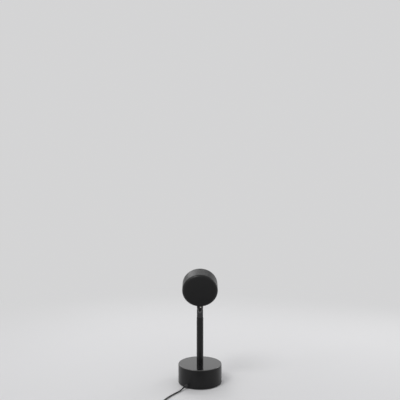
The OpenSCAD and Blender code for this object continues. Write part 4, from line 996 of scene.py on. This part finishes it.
# ------ the lead
def lead():
    """Both stretches of the lead."""
    def shown(*names):
        return [bpy.data.objects[name] for name in names]

    switch_pieces = shown(
        "switch_case_lower", "switch_board", "switch_block", "switch_wires", "switch_screws", "switch_top",
        "switch_key", "switch_sleeve_in", "switch_sleeve_out", "switch_sleeve_ribs_in",
        "switch_sleeve_ribs_out", "switch_grip_front", "switch_grip_back")
    lead_piece("lamp_lead", eased(LEAD_ROUTE), ["cord_lead"], length=0.12, far_end="fitting", lay="loose",
               with_pieces=switch_pieces)
    coil = [coil_point(k / POINTS_A_TURN) for k in range(int(COIL_TURNS * POINTS_A_TURN) + 1)]
    plug_pieces = shown(
        "tie_strap", "plug_body", "plug_sleeve", "plug_sleeve_ribs", "plug_grip_front", "plug_grip_back",
        "plug_sheath", "plug_tongue", "plug_contacts")
    lead_piece("coiled_lead", eased(LINK_ROUTE)[:-1] + coil + eased(TAIL_ROUTE)[1:],
               ["cord_link", "cord_coil", "cord_tail"], length=1.22, far_end="plug", lay="coiled",
               with_pieces=plug_pieces)


base()
lead_sleeve()
pole_and_hinge()
drum()
bezel()
trim_ring()
convex_lens()
switch_top(at(SWITCH_X, SWITCH_Y, 0))
switch_key(at(SWITCH_X, SWITCH_Y, 0))
switch_sleeves()
grips("switch_grip", SWITCH_X, SWITCH_Y, SWITCH_GRIP_H, CASE_W, SWITCH_BARS)
tie_strap()
plug()
lead()

# ------ floor and light
PALE, FILL = (0.66, 0.66, 0.665), (0.52, 0.52, 0.53)
FLOOR_Z, FLOOR_SIDE, FLOOR_BACK = -0.0006, 9, 30
FADE_START, FADE_END = 0.3, 1.1


def background_rays(nodes):
    """1 for rays that show the background: straight ones, and those in gloss and glass."""
    path = nodes.node("ShaderNodeLightPath").outputs
    seen = Level(nodes, path["Is Camera Ray"])
    return seen.most(path["Is Glossy Ray"]).most(path["Is Transmission Ray"])


def floor():
    """A pale floor that keeps the lamp's shadow and passes into the background further off."""
    f = Finish("floor_paint", PALE, 0.6, **{"Specular IOR Level": 0.15})
    slow = f.noise(0.2, 2)
    f.skin_set(Base_Color=f.mix(slow, scaled(PALE, 0.985), scaled(PALE, 1.015)),
               Roughness=0.56 + slow * 0.08)
    far = f.around()[0].between(FADE_START, FADE_END) * background_rays(f)
    plain = f.node("ShaderNodeEmission", sockets={"Color": (*PALE, 1), "Strength": 1.0})
    both = f.node("ShaderNodeMixShader", sockets={0: far, 1: f.skin.outputs[0], 2: plain.outputs[0]})
    f.set(f.out.inputs["Surface"], both.outputs[0])
    corners = ((-1, -FLOOR_SIDE), (1, -FLOOR_SIDE), (1, FLOOR_BACK), (-1, FLOOR_BACK))
    mesh = bpy.data.meshes.new("floor")
    mesh.from_pydata([(side * FLOOR_SIDE, y, FLOOR_Z) for side, y in corners], [], [(0, 1, 2, 3)])
    mesh.materials.append(f.material)
    show(bpy.data.objects.new("floor", mesh))


def studio():
    """Rays that show the background see the pale shade; all others get the soft fill light."""
    world = bpy.data.worlds.new("studio")
    bpy.context.scene.world = world
    world.use_nodes = True
    world.node_tree.nodes.clear()
    sky = Nodes(world.node_tree)
    fill = sky.node("ShaderNodeBackground", sockets={"Color": (*FILL, 1)})
    back = sky.node("ShaderNodeBackground", sockets={"Color": (*PALE, 1)})
    either = sky.node("ShaderNodeMixShader", sockets={
        0: background_rays(sky), 1: fill.outputs[0], 2: back.outputs[0]})
    sky.node("ShaderNodeOutputWorld", sockets={"Surface": either.outputs[0]})


def lamp(name, kind, place, aim, energy, **facts):
    light = bpy.data.lights.new(name, kind)
    light.energy = energy
    for key, value in facts.items():
        setattr(light, key, value)
    holder = show(bpy.data.objects.new(name, light))
    holder.location = place
    holder.rotation_mode = "QUATERNION"
    holder.rotation_quaternion = (Vector(aim) - Vector(place)).to_track_quat("-Z", "Y")


floor()
studio()
lamp("key", "SUN", (-1.2, -1.5, 2.4), (0, 0, 0.1), 1.1, angle=math.radians(24))
lamp("strip", "AREA", (-1.0, -0.55, 0.75), (0, 0, 0.14), 1.3, shape="RECTANGLE", size=0.2, size_y=0.7)
lamp("rim", "AREA", (0.85, 0.5, 0.5), (0, 0, 0.14), 1.8, shape="RECTANGLE", size=0.3, size_y=0.7)
lamp("front", "AREA", (-0.4, 1.0, 0.8), (0, 0, 0.17), 2.2, shape="ELLIPSE", size=0.8, size_y=0.5)
lamp("over", "AREA", (0, 0.75, 1.15), (0, 0, 0.1), 1.8, shape="RECTANGLE", size=1.3, size_y=0.25)
bpy.context.scene.view_settings.view_transform = "Standard"
